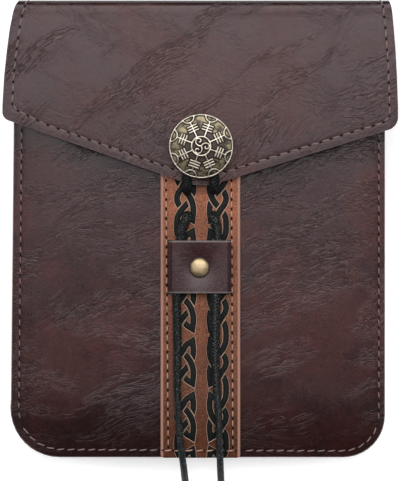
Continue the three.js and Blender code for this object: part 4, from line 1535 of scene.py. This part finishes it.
class POUCH_OT_seams(bpy.types.Operator):
    """Sew the flap, the bag and the strip"""

    bl_idname = "pouch.seams"
    bl_label = "Seams"

    def execute(self, context):
        sizes = context.scene.pouch_sizes
        pitch, width = sizes.pitch / MM, sizes.thread / MM
        fine = width * 0.9
        brown = thread("Brown thread", "brown_thread")
        pale = thread("Brown thread, front", "pale_thread")
        tan = thread("Tan thread", "tan_thread", 350.0)

        how = {"pitch": pitch * 1.07, "width": fine, "slant": 0.2, "flip": -1, "hole": (0.78, 0.56)}
        seam("flap_seam", pale, "brown_leather", hide_point, (flap_seam_run(), how))

        def on_front(x, y):
            return x, y, front_height(x, y)

        run = bag_seam_run(BAG["front_top"] - 3)
        turn_up = BAG["bottom"] + 16  # where the bottom's rows give way to the sides'
        low_left = [(x, y) for x, y in run if x < STRIP[0] - 0.6 and y < turn_up]
        low_right = [(x, y) for x, y in run if x > STRIP[1] + 0.6 and y < turn_up]
        how = {"pitch": pitch, "width": fine, "slant": 0.25, "hole": (0.55, 0.42)}
        seam("bag_seam", pale, "brown_leather", on_front, (low_left[::-1], how), (low_right, how))
        how = {"pitch": pitch, "width": fine, "hole": (1.0, 0.48)}
        rising = [[(x, y) for x, y in run if x * side > 0 and y > turn_up - 1] for side in (-1, 1)]
        seam("side_seams", brown, "brown_leather", on_front, *((row, how) for row in rising))

        def on_strip(x, y):
            return x, y, STRIP_TOP - fall(0, y)

        rows = []
        top, end = BAG["front_top"] - 3, BAG["bottom"] + 5.2
        how = {"pitch": 4.4, "width": width * 0.87, "slant": 0.0, "hole": (0.8, 0.56), "turn": 0.15}
        for high_x, low_x in ((-16.5, -14.9), (14.2, 15.2)):
            row = [(lerp(high_x, low_x, (top - y) / (top - end)), y) for y in steps(top, end, 3)]
            rows.append((row, how))
        across = [(x, y) for x, y in run if STRIP[0] + 0.4 < x < STRIP[1] - 0.4]
        rows.append((across, {"pitch": pitch, "width": width, "slant": 0.25}))
        seam("strip_seam", tan, "tan_leather", on_strip, *rows)

        back = [(x, y - BAG["bottom"]) for x, y in bag_seam_run(TOP - BACK_BEND - 1)]
        how = {"pitch": pitch, "width": width, "flip": -1}
        seam("back_seam", brown, "brown_leather", hide_point, (back, how))
        return {"FINISHED"}


class POUCH_OT_tab(bpy.types.Operator):
    """Make the keeper tab and its rivet"""

    bl_idname = "pouch.tab"
    bl_label = "Keeper tab"

    def execute(self, context):
        leather = brown_leather("tab", 70, 4, 0.8, crease=0.25)
        edge = context.scene.pouch_sizes.edge * 1.5
        leather_piece("tab_leather", filled(make_tab), leather, "keeper_tab", LEATHER, edge)
        finishes = [brass("Rivet brass", 0.52), plain("Rivet collar", "shade_collar", 0.7)]
        piece("rivet_cap", filled(make_rivet), finishes, "brass", "keeper_rivet", sharp=35)
        return {"FINISHED"}


class POUCH_OT_button(bpy.types.Operator):
    """Cast the button and finish the screw behind it"""

    bl_idname = "pouch.button"
    bl_label = "Button"

    def execute(self, context):
        bm = filled(make_button, context.scene.pouch_sizes.relief / MM)
        piece("button_cast", bm, [button_brass()], "antique_brass", "concho")
        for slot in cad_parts["concho_post"].material_slots:
            slot.material = brass("Screw brass", 0.35)
        return {"FINISHED"}


class POUCH_OT_belt_loops(bpy.types.Operator):
    """Make the two belt loops on the back"""

    bl_idname = "pouch.belt_loops"
    bl_label = "Belt loops"

    def execute(self, context):
        sizes = context.scene.pouch_sizes
        how = {"pitch": sizes.pitch / MM, "width": sizes.thread / MM, "flip": -1}
        leather = brown_leather("loops", 24, 4, 0.8)
        brown = thread("Brown thread", "brown_thread")

        def on_seat(x, y):
            return x, y, LOOP["seat"]

        for name, x in (("belt_loop_left", -46), ("belt_loop_right", 46)):
            bm = filled(make_belt_loop, x)
            leather_piece(name + "_leather", bm, leather, name, LOOP_LEATHER, sizes.edge)
            rows = []
            for y in (LOOP["low"] + 2.5, LOOP["low"] + 9, LOOP["high"] - 9, LOOP["high"] - 2.5):
                rows.append(([(x + across, y) for across in steps(-14, 14, 4)], how))
            seam(name + "_seam", brown, "brown_leather", on_seat, *rows)
        return {"FINISHED"}


class POUCH_OT_stage(bpy.types.Operator):
    """Set out the floor and the soft lights"""

    bl_idname = "pouch.stage"
    bl_label = "Floor and lights"

    def execute(self, context):
        pale = plain("Pale floor", "floor", 0.9, 3.0, 60.0, 0.05)
        shader = node_of(pale.node_tree, "BSDF_PRINCIPLED").inputs
        shader["Emission Color"].default_value = (1, 1, 1, 1)
        shader["Emission Strength"].default_value = 0.5
        bm = bmesh.new()
        under = Matrix.Translation((0, 0, -0.0002))
        bmesh.ops.create_grid(bm, x_segments=1, y_segments=1, size=4, matrix=under)
        floor = solid("floor", bm, [pale])
        for name, spot, aim, sides, power in (
            ("Overhead softbox", (0.0, 0.625, 1.424), (0.0, 0.05, 0.0), (1.85, 1.18), 20.8),
            ("Left softbox", (-1.3, 0.1, 0.75), (0.0, 0.0, 0.0), (0.6, 1.4), 9),
            ("Right softbox", (1.3, 0.1, 0.75), (0.0, 0.0, 0.0), (0.6, 1.4), 9),
            ("Near softbox", (0.0, -1.3, 0.7), (0.0, 0.0, 0.0), (1.4, 0.5), 4),
        ):
            lamp = bpy.data.lights.new(name, "AREA")
            change(lamp, shape="RECTANGLE", size=sides[0], size_y=sides[1], energy=power)
            turn = (Vector(aim) - Vector(spot)).to_track_quat("-Z", "Y").to_euler()
            glossy = name == "Overhead softbox"
            change(placed(name, lamp), location=spot, rotation_euler=turn, visible_glossy=glossy)
        world = change(bpy.data.worlds.new("Studio"), use_nodes=True)
        sky = node_of(world.node_tree, "BACKGROUND").inputs
        sky["Color"].default_value = (1, 1, 1, 1)
        sky["Strength"].default_value = 0.05
        context.scene.world = world
        context.scene.view_settings.view_transform = "Standard"
        return {"FINISHED"}


STEPS = (
    POUCH_OT_camera,
    POUCH_OT_cords,
    POUCH_OT_hide,
    POUCH_OT_front,
    POUCH_OT_strip,
    POUCH_OT_seams,
    POUCH_OT_tab,
    POUCH_OT_button,
    POUCH_OT_belt_loops,
    POUCH_OT_stage,
)


class POUCH_PT_panel(bpy.types.Panel):
    """The pouch's sizes, colours and steps"""

    bl_idname = "POUCH_PT_panel"
    bl_label = "Belt Pouch"
    bl_space_type = "VIEW_3D"
    bl_region_type = "UI"
    bl_category = "Pouch"

    def draw(self, context):
        for group in (context.scene.pouch_sizes, context.scene.pouch_colours):
            box = self.layout.box()
            for name in group.bl_rna.properties.keys():
                if name not in ("rna_type", "name"):
                    box.prop(group, name)
        for step in STEPS:
            self.layout.operator(step.bl_idname)


CLASSES = (PouchSizes, PouchColours, *STEPS, POUCH_PT_panel)


def register():
    """Adds the pouch's classes and properties."""
    for made in CLASSES:
        bpy.utils.register_class(made)
    bpy.types.Scene.pouch_sizes = PointerProperty(type=PouchSizes)
    bpy.types.Scene.pouch_colours = PointerProperty(type=PouchColours)


def unregister():
    """Takes them away again."""
    del bpy.types.Scene.pouch_colours
    del bpy.types.Scene.pouch_sizes
    for made in reversed(CLASSES):
        bpy.utils.unregister_class(made)


def main():
    """Builds the pouch step by step."""
    register()
    for step in STEPS:
        group, name = step.bl_idname.split(".")
        getattr(getattr(bpy.ops, group), name)()


if __name__ == "__main__":
    main()
